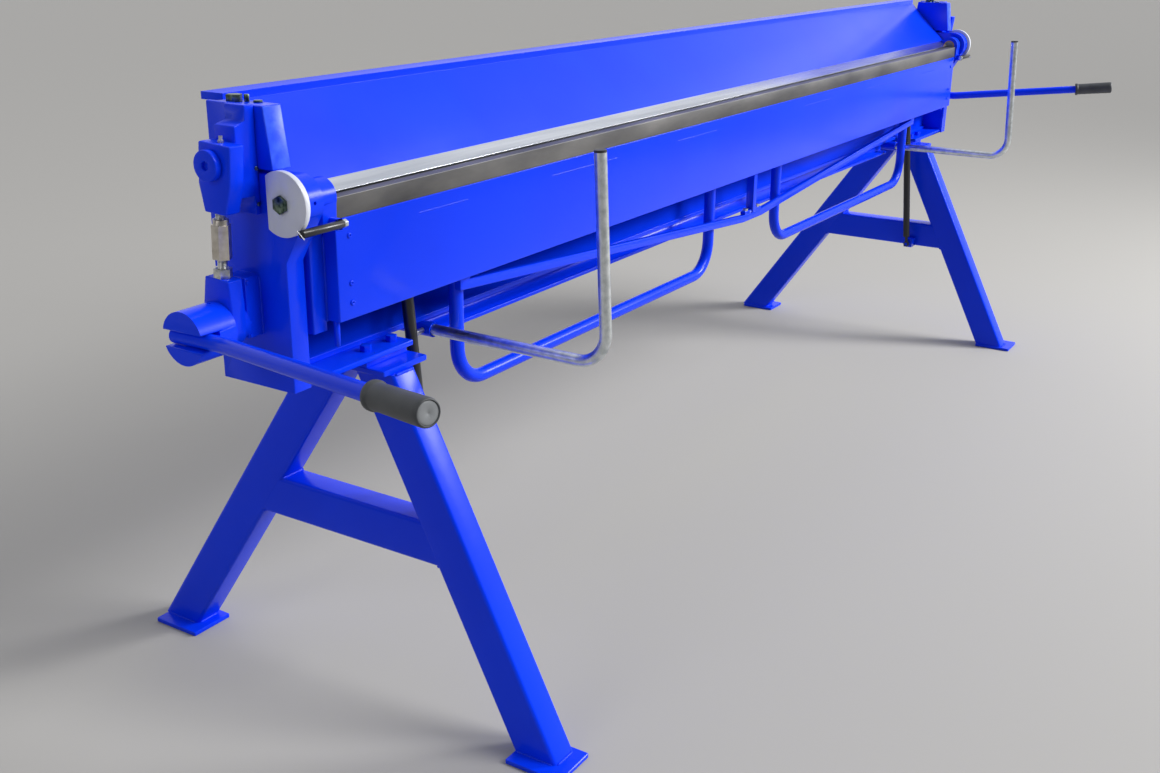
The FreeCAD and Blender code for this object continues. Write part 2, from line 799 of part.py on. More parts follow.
# Wing arms: they carry the wing's ends on the hinge pins, with a lug for the stop rod.
arm = plate(
    "arm_web",
    [
        ("arm_front", "fold_height - arm_drop"),
        ("arm_front + arm_depth", "fold_height - arm_drop"),
        ("arm_front + arm_depth", "fold_height - arm_shoulder"),
        ("arm_head", "fold_height"),
        ("-arm_nose", "fold_height + arm_nose_rise"),
        ("-arm_nose", "fold_height - arm_nose_low"),
        ("arm_front", "fold_height - arm_nose_low - arm_nose_slope"),
    ],
    "wing_half",
    "arm_thick",
)
arm_round = rod("arm_round", "x", "arm_head", "arm_thick", "wing_half", "0", "fold_height")
STOP_Z = "(fold_height - stop_drop)"
STOP_START = "(wing_half + stop_lug_start)"
stop_lug = block("stop_lug", (STOP_START, STOP_START + " + stop_lug_wide"), ("-stop_depth", "-arm_nose"),
                 (STOP_Z + " - stop_lug_half", STOP_Z + " + stop_lug_half"))
stop_seat = rod("stop_seat", "x", "stop_radius + running_fit", "stop_lug_wide", STOP_START, "-stop_depth",
                STOP_Z)
arm_bore = rod("arm_bore", "x", "pin_radius + running_fit + bush_wall", "arm_thick", "wing_half", "0",
               "fold_height")
keep_pair("wing_arms", cut("wing_arm", fuse("wing_arm", arm, arm_round, stop_lug), arm_bore, stop_seat))
arm_bush = cut(
    "arm_bush",
    rod("arm_bush_outside", "x", "pin_radius + running_fit + bush_wall", "arm_thick", "wing_half", "0",
        "fold_height"),
    rod("arm_bush_inside", "x", "pin_radius + running_fit", "arm_thick", "wing_half", "0", "fold_height"),
)
keep_pair("arm_bushes", arm_bush)


# U handles on the wing's back, one each side of the middle.
def handle_shape():
    """A tube bent into a U that hangs below the wing."""
    depth = size(WING_BACK + " + handle_tube / 2")
    high = size(WING_LOW + " + handle_weld")
    low = size("handle_low")
    near = size("handle_near")
    far = size("handle_far")
    corners = [
        Vector(near, depth, high),
        Vector(near, depth, low),
        Vector(far, depth, low),
        Vector(far, depth, high),
    ]
    return bent_tube(corners, size("handle_bend"), size("handle_tube"), size("handle_wall"))


keep_pair("wing_handles", shaped("wing_handle", handle_shape()))


# Truss under the wing: a bow bent at the middle, the post on its seat and the post's two screws.
BOW_MID = "(%s - bow_end_drop - bow_sag)" % WING_LOW
POST_Y = "bow_thick / 2 - bow_setback"
SCREW_LOW = "(%s - post_screw_depth)" % BOW_MID
FOOT_HIGH = "(%s + post_foot_thick)" % BOW_MID


def bow_shape():
    """A flat bar from end to end that drops to a level seat at the middle, with a foot at each end."""
    half = size("bow_half")
    seat = size("bow_seat")
    end_high = size(WING_LOW + " - bow_end_drop")
    mid_high = size(BOW_MID)
    tall = size("bow_tall")
    front = size("-bow_setback")
    thick = size("bow_thick")
    top = [(-half, end_high), (-seat, mid_high), (seat, mid_high), (half, end_high)]
    bottom = [(x, z - tall) for x, z in reversed(top)]
    corners = [Vector(x, front, z) for x, z in top + bottom]
    bow = Part.Face(Part.makePolygon(corners + corners[:1])).extrude(Vector(0, thick, 0))
    foot_long = size("bow_foot")
    foot_tall = size("bow_end_drop") + tall
    for start in (-half, half - foot_long):
        bow = bow.fuse(Part.makeBox(foot_long, thick, foot_tall, Vector(start, front, end_high - tall)))
    return bow.removeSplitter()


def post_rod(name, x, start, end):
    """The place of one of the post's screws between two heights."""
    return rod(name, "z", "post_screw_radius", "%s - %s" % (end, start), x, POST_Y, start)


def post_screw(name, x):
    """A hexagon head screw that holds the post's foot on the bow."""
    return fuse(name, post_rod(name + "_shank", x, SCREW_LOW, FOOT_HIGH),
                hexagon(name + "_head", "z", "post_head_flats", "post_head_thick", x, POST_Y, FOOT_HIGH))


keep("truss_bow", cut("truss_bow", shaped("truss_bow_blank", bow_shape()),
                      post_rod("bow_hole_left", "-post_screw_x", SCREW_LOW, FOOT_HIGH),
                      post_rod("bow_hole_right", "post_screw_x", SCREW_LOW, FOOT_HIGH)))
post_bar = block("post_bar", ("-post_wide / 2", "post_wide / 2"),
                 (POST_Y + " - post_wide / 2", POST_Y + " + post_wide / 2"), (BOW_MID, WING_LOW))
post_foot = block("post_foot", ("-post_foot_half", "post_foot_half"),
                  ("-bow_setback", "bow_thick - bow_setback"), (BOW_MID, FOOT_HIGH))
keep("truss_post", cut("truss_post", fuse("truss_post_weldment", post_bar, post_foot),
                       post_rod("foot_hole_left", "-post_screw_x", BOW_MID, FOOT_HIGH),
                       post_rod("foot_hole_right", "post_screw_x", BOW_MID, FOOT_HIGH)))
keep("truss_screws", group("truss_screws_all", post_screw("left_post_screw", "-post_screw_x"),
                           post_screw("right_post_screw", "post_screw_x")))

# Stop rods beside the hinges, each with a thin pointer on its outer end.
stop_rod = group("stop_rod_set",
                 rod("stop_bar", "x", "stop_radius", "stop_length", STOP_START, "-stop_depth", STOP_Z),
                 hexagon("stop_tip", "x", "stop_tip_flats", "stop_tip_length",
                         "wing_half - stop_tip_overlap", "-stop_depth", STOP_Z))
keep_pair("stop_rods", stop_rod)


def pointer_shape():
    """A thin pin across the stop rod's end that points away from the hinge."""
    outward = Vector(0, -size("stop_depth"), -size("stop_drop")).normalize()
    radius = size("pointer_radius")
    end_x = size(STOP_START + " + stop_length") + radius
    start = Vector(end_x, 0, size("fold_height")) + outward * size("pointer_start")
    return Part.makeCylinder(radius, size("pointer_length"), start, outward)


keep_pair("angle_pointers", shaped("angle_pointer", pointer_shape()))

# Small screws in the wing's face near its ends, and a stop screw under each end.
screws = []
for number, drop in enumerate(("screw_drop_high", "screw_drop_middle", "screw_drop_low")):
    screws.append(rod("face_screw_%d" % number, "y", "face_screw", "face_screw_head",
                      "wing_half - face_screw_inset", "-wing_face - face_screw_head",
                      "fold_height - " + drop))
screws.append(rod("stop_screw", "z", "face_screw", "stop_screw_length",
                  "wing_half - stop_screw_inset", "-stop_screw_front",
                  WING_LOW + " - stop_screw_length"))
keep_pair("wing_screws", group("wing_screws_right", *screws))

# Clamping beam: sloped sheet, base, rear web and top flange, welded.
clamp_half = END_INNER
nose_half = BED_HALF
slope = "(sheet_top_y - nose_depth) / (%s - %s)" % (SHEET_TOP, SHEET_LOW)
sheet_width = "(sheet_thick * sqrt(1 + %s * %s))" % (slope, slope)
sloped = plate(
    "sloped_sheet",
    [
        ("nose_depth", SHEET_LOW),
        ("nose_depth + " + sheet_width, SHEET_LOW),
        ("sheet_top_y + " + sheet_width, SHEET_TOP),
        ("sheet_top_y", SHEET_TOP),
    ],
    "-" + clamp_half,
    "2 * " + clamp_half,
)
WEB_REAR = "sheet_top_y + clamp_web_back"
clamp_base = block("clamp_base", ("-" + clamp_half, clamp_half), ("nose_back", WEB_REAR),
                   (CLAMP_LOW, SHEET_LOW))
clamp_web = block("clamp_web", ("-" + clamp_half, clamp_half), (WEB_REAR + " - beam_web", WEB_REAR),
                  (SHEET_LOW, SHEET_TOP))
clamp_flange = block("clamp_flange", ("-" + clamp_half, clamp_half),
                     ("sheet_top_y", "sheet_top_y + flange_depth"),
                     (SHEET_TOP, SHEET_TOP + " + flange_thick"))
keep("clamp_beam", fuse("clamp_beam", sloped, clamp_base, clamp_web, clamp_flange))
nose = plate(
    "nose_bar",
    [
        ("nose_setback", CLAMP_LOW),
        ("nose_back", CLAMP_LOW),
        ("nose_back", SHEET_LOW),
        ("nose_depth", SHEET_LOW),
    ],
    "-" + nose_half,
    "2 * " + nose_half,
)
keep("nose_bar", nose)

# End plates of the clamping beam, above the side frames.
END_LOW = "(fold_height + side_rise + end_plate_rise)"
end_plate = plate(
    "end_plate",
    [
        ("end_plate_front", END_LOW),
        ("end_plate_rear + end_plate_lean", END_LOW),
        ("end_plate_rear", "end_plate_top"),
        ("end_plate_front + end_plate_lean", "end_plate_top"),
    ],
    END_INNER,
    "side_thick + 2 * side_gap",
)
keep_pair("end_plates", end_plate)

# Slide blocks: castings bolted outside the end plates; the links pull on their bosses.
block_front = profile(
    "slide_boss",
    [
        (SLIDE_INNER, "slide_boss_low"),
        (SLIDE_OUTER, "slide_boss_low"),
        (SLIDE_OUTER, "slide_shoulder"),
        (SIDE_OUTER + " + slide_neck", "slide_shoulder + slide_shoulder_rise"),
        (SIDE_OUTER + " + slide_neck", "slide_high"),
        (SLIDE_INNER, "slide_high"),
    ],
    "slide_front",
    "slide_boss_depth",
)
block_skin = block("slide_skin", (SLIDE_INNER, SIDE_OUTER + " + slide_skin"),
                   ("slide_front", "slide_front + slide_depth"), ("slide_low", "slide_high"))
slide_block = cut(
    "slide_block",
    fuse("slide_block", block_front, block_skin),
    block("key_groove", (SLIDE_INNER, SIDE_OUTER + " + key_thick + side_gap"),
          ("key_front - side_gap", "key_front + key_width + side_gap"),
          ("slide_low", "fold_height + side_rise")),
    rod("link_pin_seat", "x", "link_pin", "slide_block_outer - slide_skin", SIDE_OUTER + " + slide_skin",
        "link_depth", "link_pin_height"),
)
keep_pair("slide_blocks", slide_block)

# Link pins with round caps that hold the link eyes on the slide blocks.
PIN_START = "(%s + slide_skin)" % SIDE_OUTER
CAP_START = "(%s + link_thick + side_gap)" % LINK_INNER
CAP_FLOOR = "(%s + cap_thick - cap_socket_depth)" % CAP_START
link_pin = cut(
    "link_pin",
    fuse("link_pin",
         rod("link_pin_bar", "x", "link_pin", "%s - %s" % (CAP_START, PIN_START), PIN_START, "link_depth",
             "link_pin_height"),
         rod("link_pin_cap", "x", "cap_radius", "cap_thick", CAP_START, "link_depth", "link_pin_height")),
    hexagon("cap_socket_cut", "x", "cap_socket", "cap_socket_depth", CAP_FLOOR, "link_depth",
            "link_pin_height"),
)
keep_pair("link_pins", link_pin)

# Bolt, stud and screw on the end plate's top, and the screws in the slide block's front.
slide_bolts = [
    hexagon("end_plate_bolt", "z", "top_bolt_flats", "top_bolt_head", "side_inner + top_bolt_inset",
            "top_bolt_place", "end_plate_top"),
    rod("end_plate_stud", "z", "top_stud", "top_bolt_head", "side_inner + top_stud_inset",
        "top_stud_place", "end_plate_top"),
    rod("end_plate_screw", "z", "top_screw", "top_screw_head", "side_inner + top_screw_inset",
        "top_screw_place", "end_plate_top"),
    rod("slide_side_screw_0", "y", "small_screw", "small_screw_head", SIDE_OUTER + " + slide_skin / 2",
        "slide_front - small_screw_head", "link_pin_height - side_screw_drop"),
    rod("slide_side_screw_1", "y", "small_screw", "small_screw_head", SIDE_OUTER + " + slide_skin / 2",
        "slide_front - small_screw_head", "slide_low + side_screw_rise"),
]
keep_pair("slide_bolts", group("slide_bolts_right", *slide_bolts))

# Links: eye, grease nipple, turnbuckle, screw with its lock nut, and the strap on the crank pin.
# They are drawn hanging straight down from the pin and then turned back until they meet the crank.
LINK_LEAN = "(atan((shaft_depth - link_depth) / (link_pin_height - %s)))" % CRANK_HEIGHT
LINK_TOP = "(link_pin_height + link_top)"
LINK_LOW = "(link_pin_height - link_drop)"
LINK_TAPER = "(link_pin_height - link_taper)"


def leaned(name, item):
    """The item turned back about the link pin's axis."""
    turned = group(name + "_leaned", item)
    turned.Placement = Placement(Vector(), Rotation(Vector(1, 0, 0), 1))
    spot = {"y": "(fold_y + link_depth)", "z": "link_pin_height", "lean": LINK_LEAN}
    turned.setExpression("Placement.Rotation.Angle", formula(LINK_LEAN))
    turned.setExpression("Placement.Base.y", formula(
        "%(y)s - %(y)s * cos(%(lean)s) + %(z)s * sin(%(lean)s)" % spot))
    turned.setExpression("Placement.Base.z", formula(
        "%(z)s - %(y)s * sin(%(lean)s) - %(z)s * cos(%(lean)s)" % spot))
    return turned


eye_body = plate(
    "link_eye_body",
    [
        ("link_depth - link_shift - link_foot", LINK_LOW),
        ("link_depth - link_shift + link_foot", LINK_LOW),
        ("link_depth - link_shift + link_half", LINK_TAPER),
        ("link_depth - link_top_shift + link_half", LINK_TOP),
        ("link_depth - link_top_shift - link_half", LINK_TOP),
        ("link_depth - link_shift - link_half", LINK_TAPER),
    ],
    LINK_INNER,
    "link_thick",
)
SCREW_HIGH = "(%s + link_screw_grip)" % LINK_LOW
SCREW_LOW = "(strap_top - strap_screw_grip)"
eye = cut(
    "link_eye",
    eye_body,
    rod("eye_bore", "x", "link_pin + running_fit", "link_thick", LINK_INNER, "link_depth",
        "link_pin_height"),
    rod("eye_screw_bore", "z", "link_screw", "link_screw_grip", LINK_X, "link_depth", LINK_LOW),
)
keep_sides("link_eye", leaned("link_eye", eye))
NIPPLE_Y = "(link_depth - link_top_shift)"
nipple = fuse(
    "grease_nipple",
    hexagon("nipple_hex", "z", "nipple_flats", "nipple_flats / 2", LINK_X, NIPPLE_Y, LINK_TOP),
    rod("nipple_round", "z", "nipple_head", "nipple_tall", LINK_X, NIPPLE_Y, LINK_TOP),
)
keep_sides("grease_nipple", leaned("grease_nipple", nipple))
BUCKLE_LENGTH = "turnbuckle_length + turnbuckle_collar"
turnbuckle = cut(
    "turnbuckle",
    fuse("turnbuckle",
         hexagon("turnbuckle_hex", "z", "turnbuckle_flats", "turnbuckle_length", LINK_X, "link_depth",
                 "turnbuckle_low"),
         rod("turnbuckle_round", "z", "turnbuckle_flats / 2 - 1", BUCKLE_LENGTH, LINK_X, "link_depth",
             "turnbuckle_low")),
    rod("turnbuckle_bore", "z", "link_screw", BUCKLE_LENGTH, LINK_X, "link_depth", "turnbuckle_low"),
)
keep_sides("turnbuckle", leaned("turnbuckle", turnbuckle))
link_screw = rod("link_screw_bar", "z", "link_screw", "%s - %s" % (SCREW_HIGH, SCREW_LOW), LINK_X,
                 "link_depth", SCREW_LOW)
keep_sides("link_screw", leaned("link_screw", link_screw))
lock_nut = cut(
    "lock_nut",
    hexagon("lock_nut_hex", "z", "lock_nut_flats", "lock_nut_thick", LINK_X, "link_depth", "strap_top"),
    rod("lock_nut_bore", "z", "link_screw", "lock_nut_thick", LINK_X, "link_depth", "strap_top"),
)
keep_sides("lock_nut", leaned("lock_nut", lock_nut))
STRAP_X = "(%s - strap_thick / 2)" % LINK_X
strap = cut(
    "link_strap",
    fuse("link_strap",
         plate("strap_lug",
               [
                   ("link_depth - strap_eye", STRAP_EYE_HEIGHT),
                   ("link_depth + strap_eye", STRAP_EYE_HEIGHT),
                   ("link_depth + strap_eye", STRAP_EYE_HEIGHT + " + strap_flare"),
                   ("link_depth + strap_half", "strap_top"),
                   ("link_depth - strap_half", "strap_top"),
                   ("link_depth - strap_eye", STRAP_EYE_HEIGHT + " + strap_flare"),
               ],
               STRAP_X, "strap_thick"),
         rod("strap_round", "x", "strap_eye", "strap_thick", STRAP_X, "link_depth", STRAP_EYE_HEIGHT)),
    rod("strap_bore", "x", "crank_pin + strap_play", "strap_thick", STRAP_X, "link_depth",
        STRAP_EYE_HEIGHT),
    rod("strap_screw_bore", "z", "link_screw", "strap_screw_grip", LINK_X, "link_depth", SCREW_LOW),
)
keep_sides("link_strap", leaned("link_strap", strap))


# Lever hubs: slotted head, crank pin, inner cheek and shaft turned from one piece.
def hub_shape():
    """The hub with its slot cut along the lever, which leans up to the front."""
    axis = Vector(0, size("shaft_depth"), size("shaft_height"))
    along = Vector(1, 0, 0)
    inner = size(HUB_INNER)
    head_round = Part.makeCylinder(size("hub_radius"), size("hub_length"), axis + along * inner, along)
    cheek_start = size(BEARING_OUTER + " + side_gap")
    cheek_end = size(STRAP_X + " - side_gap")
    crank = axis - Vector(0, 0, size("crank_throw"))
    pin = Part.makeCylinder(size("crank_pin"), inner - cheek_end, crank + along * cheek_end, along)
    cheek_length = cheek_end - cheek_start
    cheek = Part.makeCylinder(size("cheek_radius"), cheek_length, axis + along * cheek_start, along)
    shaft_start = size("side_inner + side_gap")
    shaft_length = cheek_end - shaft_start
    shaft = Part.makeCylinder(size("shaft_radius"), shaft_length, axis + along * shaft_start, along)
    tall = size("lever_tube + slot_play")
    wide = size("2 * hub_radius + 4")
    slot_axis = axis - Vector(0, 0, size("slot_drop"))
    slot_corner = slot_axis + Vector(inner + size("hub_length - slot_depth"), -wide / 2, -tall / 2)
    slot = Part.makeBox(size("slot_depth"), wide, tall, slot_corner)
    slot.rotate(slot_axis, along, -size("lever_pitch"))
    oil_place = axis + Vector(inner + size("oil_place"), 0, size("hub_radius - oil_deep"))
    oil_hole = Part.makeCylinder(size("oil_radius"), size("2 * oil_deep"), oil_place, Vector(0, 0, 1))
    return head_round.fuse([pin, cheek, shaft]).cut(slot).cut(oil_hole).removeSplitter()


keep_sides("lever_hub", shaped("lever_hub", hub_shape()))


def lever_corners():
    """The lever's path: through the slot, then bent outward and up to the grip."""
    rise = math.tan(math.radians(size("lever_pitch")))
    slot_x = size(HUB_INNER + " + hub_length - slot_depth / 2")
    middle = Vector(slot_x, size("shaft_depth"), size("shaft_height - slot_drop"))
    tail = size("lever_tail")
    bend = size("lever_bend")
    return [
        middle + Vector(0, tail, -tail * rise),
        middle + Vector(0, -bend, bend * rise),
        middle + Vector(size("lever_spread"), -size("lever_reach"), size("lever_rise")),
    ]


def lever_shape():
    """The lever's tube, which stops just inside the grip's closed end."""
    corners = lever_corners()
    inward = (corners[1] - corners[2]).normalize()
    corners[2] = corners[2] + inward * size("grip_end")
    return bent_tube(corners, size("lever_bend_radius"), size("lever_tube"), size("lever_wall"))


def grip_shape():
    """A rubber grip with a collar at its inner end and a closed outer end."""
    corners = lever_corners()
    outward = (corners[2] - corners[1]).normalize()
    length = size("grip_length")
    start = corners[2] - outward * length
    sleeve = Part.makeCylinder(size("grip_radius"), length, start, outward)
    collar = Part.makeCylinder(size("grip_flange"), size("grip_collar"), start, outward)
    bore = Part.makeCylinder(size("lever_tube / 2"), length - size("grip_end"), start, outward)
    return sleeve.fuse(collar).cut(bore)


keep_sides("lever_tube", shaped("lever_tube", lever_shape()))
keep_sides("lever_grip", shaped("lever_grip", grip_shape()))


# Gas springs: tube with its foot eye, and the rod with its piston and top eye.
def spring_line():
    """The foot and top of the spring's axis, and its direction."""
    low = Vector(size("spring_x"), size("spring_foot_y"), size("spring_foot_height"))
    high = Vector(size("spring_x"), size("spring_top_y"), size(SPRING_TOP))
    return low, high, (high - low).normalize()


def spring_tube_shape():
    """The pressure tube, bored for the piston, with the eye that turns on the foot's stud."""
    low, high, up = spring_line()
    place = size("spring_tube_start")
    length = (high - low).Length - size("spring_tube_spare") - place
    across = Vector(1, 0, 0)
    thick = size("spring_eye_thick")
    end = size("spring_tube_end")
    eye_start = low - across * (thick / 2)
    tube = Part.makeCylinder(size("spring_tube"), length, low + up * place, up)
    neck = Part.makeCylinder(size("spring_rod"), place, low, up)
    eye_round = Part.makeCylinder(size("spring_eye"), thick, eye_start, across)
    inner = size("spring_tube - spring_wall")
    bore = Part.makeCylinder(inner, length - 2 * end, low + up * (place + end), up)
    mouth = Part.makeCylinder(size("spring_rod + side_gap"), length, low + up * (place + 2 * end), up)
    eye_bore = Part.makeCylinder(size("spring_rod + running_fit"), thick, eye_start, across)
    return tube.fuse([neck, eye_round]).cut(bore).cut(mouth).cut(eye_bore)


def spring_rod_shape():
    """The piston rod, with the eye and stud that meet the wing's lug."""
    low, high, up = spring_line()
    across = Vector(1, 0, 0)
    thick = size("spring_eye_thick")
    piston_start = low + up * size("piston_place")
    piston_radius = size("spring_tube - spring_wall - side_gap")
    piston = Part.makeCylinder(piston_radius, size("piston_thick"), piston_start, up)
    bar = Part.makeCylinder(size("spring_rod"), (high - piston_start).Length, piston_start, up)
    collar_place = high - up * size("spring_eye + spring_collar_length")
    collar = Part.makeCylinder(size("spring_collar"), size("spring_collar_length"), collar_place, up)
    eye_round = Part.makeCylinder(size("spring_eye"), thick, high - across * (thick / 2), across)
    stud = Part.makeCylinder(size("spring_rod"), size("spring_lug_place - side_gap"), high, across)
    return bar.fuse([piston, collar, eye_round, stud])


keep_sides("gas_spring_tube", shaped("gas_spring_tube", spring_tube_shape()))
keep_sides("gas_spring_rod", shaped("gas_spring_rod", spring_rod_shape()))


# Sheet supports: bent tubes that slide in the sockets, with plugs in their upper ends.
def support_corners():
    """The support's path, from inside its socket to its upper end."""
    x = size("support_x")
    low = size(SOCKET_HEIGHT)
    high = size("support_top")
    front = -size("support_reach")
    lean = (high - low) * math.tan(math.radians(size("support_lean")))
    return [
        Vector(x, size("socket_front + socket_length - support_end"), low),
        Vector(x, front, low),
        Vector(x, front + lean, high),
    ]


def support_plug_shape():
    """A plug with a low head on the tube's end."""
    corners = support_corners()
    up = (corners[2] - corners[1]).normalize()
    deep = size("plug_depth")
    head_round = Part.makeCylinder(size("support_tube / 2"), size("plug_head"), corners[2], up)
    stem = Part.makeCylinder(size("support_tube / 2 - support_wall"), deep, corners[2] - up * deep, up)
    return head_round.fuse(stem)


keep_sides("support_arm", shaped("support_arm", bent_tube(
    support_corners(), size("support_bend"), size("support_tube"), size("support_wall"))))
keep_sides("support_plug", shaped("support_plug", support_plug_shape()))

doc.recompute()
for item in doc.Objects:
    if "Invalid" in item.State or "Error" in item.State:
        raise RuntimeError("%s did not compute: %s" % (item.Label, item.State))
for node, item in kept:
    if item.Shape.isNull() or not item.Shape.isValid():
        raise RuntimeError("%s has no valid shape" % node)
    if item.Label != node:
        raise RuntimeError("%s is named %s" % (node, item.Label))

os.makedirs("parts", exist_ok=True)
for node, item in kept:
    item.Shape.exportStep("parts/%s.step" % node)
print("%d nodes" % len(kept))
whole = Part.makeCompound([item.Shape for node, item in kept])
print(whole.BoundBox)
for node, item in kept:
    print("%-22s %2d solids %10.0f mm3" % (node, len(item.Shape.Solids), item.Shape.Volume))
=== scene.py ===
# %% [markdown]
# # A three metre folding machine for roofing sheet
# The machine stands on two welded trestles. A long blue beam carries the bed, a second beam
# above it clamps the sheet, and a wing in front turns up to fold it. Everything could be
# modelled here from scratch, but the shapes and joints already exist as a CAD model. So this
# script loads that model as a fixed frame and works on the looks: rounded edges, welds,
# threads, paint, steel, light and camera.

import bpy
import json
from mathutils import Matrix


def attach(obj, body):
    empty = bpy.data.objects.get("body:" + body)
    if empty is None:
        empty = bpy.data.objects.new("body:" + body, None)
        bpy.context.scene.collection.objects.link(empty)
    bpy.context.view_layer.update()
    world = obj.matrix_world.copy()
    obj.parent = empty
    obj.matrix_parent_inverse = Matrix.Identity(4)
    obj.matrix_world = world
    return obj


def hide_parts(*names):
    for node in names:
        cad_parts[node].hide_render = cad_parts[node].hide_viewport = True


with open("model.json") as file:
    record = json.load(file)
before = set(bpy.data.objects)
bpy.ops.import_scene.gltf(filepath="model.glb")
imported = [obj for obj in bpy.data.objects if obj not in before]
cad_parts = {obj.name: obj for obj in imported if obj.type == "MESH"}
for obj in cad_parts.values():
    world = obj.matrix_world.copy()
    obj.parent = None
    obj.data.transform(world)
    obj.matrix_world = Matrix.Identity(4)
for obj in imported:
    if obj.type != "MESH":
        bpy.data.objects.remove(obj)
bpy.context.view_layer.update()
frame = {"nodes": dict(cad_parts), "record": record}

# %% [markdown]
# ## Modules and units
# bpy holds Blender's objects, materials and lamps, and bmesh builds a mesh point by point.
# Blender counts in metres, but a workshop drawing is in millimetres. The pieces below are
# written in millimetres too, because those numbers are easier to read, and MM turns them
# into metres where a mesh is made.

# %% Modules and units
import json
import math
import random

import bmesh
import bpy
from mathutils import Matrix, Vector

SCENE = bpy.context.scene
MM = 0.001
print("Blender %s, one millimetre is %s m" % (bpy.app.version_string, MM))

# %% [markdown]
# ## The camera
# The photograph was taken from beyond the left end, a little above the bed, and looks down
# along the machine. Straight edges in the picture gave the camera's place, its direction and
# its field of view. A tracking target could aim the camera as well, but can't hold a roll. So
# the direction is built from three angles, and each can be read on its own: how far it turns
# from the machine's depth, how far it looks down, and how far it is rolled.

# %% Camera
CAMERA_PLACE = Vector((-3.0272, -1.4539, 1.3966))
CAMERA_TURN = math.radians(57.987)
CAMERA_DOWN = math.radians(19.869)
CAMERA_ROLL = math.radians(0.613)
LENS_PIXELS = 1294.48
PHOTO_WIDTH = 1160
SENSOR = 36.0


def camera_axes(turn, down, roll):
    """The camera's right, up and forward directions."""
    forward = Vector((math.sin(turn) * math.cos(down), math.cos(turn) * math.cos(down), -math.sin(down)))
    level = Vector((math.cos(turn), -math.sin(turn), 0))
    upright = level.cross(forward)
    right = math.cos(roll) * level + math.sin(roll) * upright
    up = -math.sin(roll) * level + math.cos(roll) * upright
    return right, up, forward


right, up, forward = camera_axes(CAMERA_TURN, CAMERA_DOWN, CAMERA_ROLL)
camera_data = bpy.data.cameras.new("camera")
camera_data.sensor_fit = "HORIZONTAL"
camera_data.sensor_width = SENSOR
camera_data.lens = SENSOR * LENS_PIXELS / PHOTO_WIDTH
camera = bpy.data.objects.new("camera", camera_data)
SCENE.collection.objects.link(camera)
facing = Matrix((right, up, -forward)).transposed()
camera.matrix_world = Matrix.Translation(CAMERA_PLACE) @ facing.to_4x4()
SCENE.camera = camera
print("lens %.1f mm at %s" % (camera_data.lens, tuple(round(value, 2) for value in CAMERA_PLACE)))

# %% [markdown]
# ## The light all round
# Gloss paint shows what stands around it, so the world's colour matters as much as the lamps.
# It could be one even grey, but then all sides of a leg would look alike. Here it is bright
# behind the machine, where the camera looks, and fades towards the side the camera stands on,
# so faces turned to the end of the machine stay deep blue. A dot product with one direction
# makes that fade. The Standard view keeps the paint saturated.

# %% World
SCENE.view_settings.view_transform = "Standard"
BRIGHT_SIDE = (0.80, 0.81, 0.84, 1)
DARK_SIDE = (0.12, 0.125, 0.14, 1)
BRIGHT_DIRECTION = (0.80, 0.52, 0.30)
FADE_START = -0.35
FADE_END = 0.75


def linked(tree, kind, **settings):
    """A new shader node with its sockets and properties set."""
    node = tree.nodes.new(kind)
    for key, value in settings.items():
        if key in node.inputs:
            node.inputs[key].default_value = value
        else:
            setattr(node, key, value)
    return node


world = bpy.data.worlds.new("studio")
world.use_nodes = True
tree = world.node_tree
direction = linked(tree, "ShaderNodeTexCoord")
towards_bright = linked(tree, "ShaderNodeVectorMath", operation="DOT_PRODUCT")
towards_bright.inputs[1].default_value = BRIGHT_DIRECTION
fade = linked(tree, "ShaderNodeMapRange", interpolation_type="SMOOTHSTEP")
fade.inputs["From Min"].default_value = FADE_START
fade.inputs["From Max"].default_value = FADE_END
blend = linked(tree, "ShaderNodeMix", data_type="RGBA")
blend.inputs["A"].default_value = DARK_SIDE
blend.inputs["B"].default_value = BRIGHT_SIDE
tree.links.new(direction.outputs["Generated"], towards_bright.inputs[0])
tree.links.new(towards_bright.outputs["Value"], fade.inputs["Value"])
tree.links.new(fade.outputs["Result"], blend.inputs["Factor"])
tree.links.new(blend.outputs["Result"], tree.nodes["Background"].inputs["Color"])
tree.nodes["Background"].inputs["Strength"].default_value = 1.0
SCENE.world = world
print("world goes from %s to %s" % (DARK_SIDE[:3], BRIGHT_SIDE[:3]))

# %% [markdown]
# ## The lamps
# The shadows in the photograph are soft and wide. Area lamps alone could give that, but on a
# machine almost four metres long they light the near end more than the far one. A very wide
# sun from the front is even from end to end, so it lights the wing and the floor. A lamp high
# beyond the far end is there for its reflection, which draws the thin lines of light along
# rounded front edges, and a weak one beyond the left end lifts the end faces a little.

# %% Lamps
SUN_POWER = 2.4
SUN_ANGLE = 28
SUN_PLACE = (1.6, -4.4, 4.2)
SUN_TARGET = (0, 0, 0.6)
LAMPS = {
    "far_lamp": {"place": (3.5, -3.9, 2.9), "target": (-0.9, 0, 0.8), "size": 1.5, "power": 260},
    "end_lamp": {"place": (-5.6, 0.6, 2.8), "target": (-1.6, 0, 0.8), "size": 2.2, "power": 36},
}


def aimed(name, data, place, target):
    """A light that faces a point."""
    item = bpy.data.objects.new(name, data)
    item.location = place
    item.rotation_euler = (Vector(target) - Vector(place)).to_track_quat("-Z", "Y").to_euler()
    SCENE.collection.objects.link(item)


def lamp(name, place, target, size, power):
    """A square area lamp that faces a point."""
    data = bpy.data.lights.new(name, "AREA")
    data.shape = "SQUARE"
    data.size = size
    data.energy = power
    aimed(name, data, place, target)


sun = bpy.data.lights.new("soft_sun", "SUN")
sun.energy = SUN_POWER
sun.angle = math.radians(SUN_ANGLE)
aimed("soft_sun", sun, SUN_PLACE, SUN_TARGET)
for name, settings in LAMPS.items():
    lamp(name, **settings)

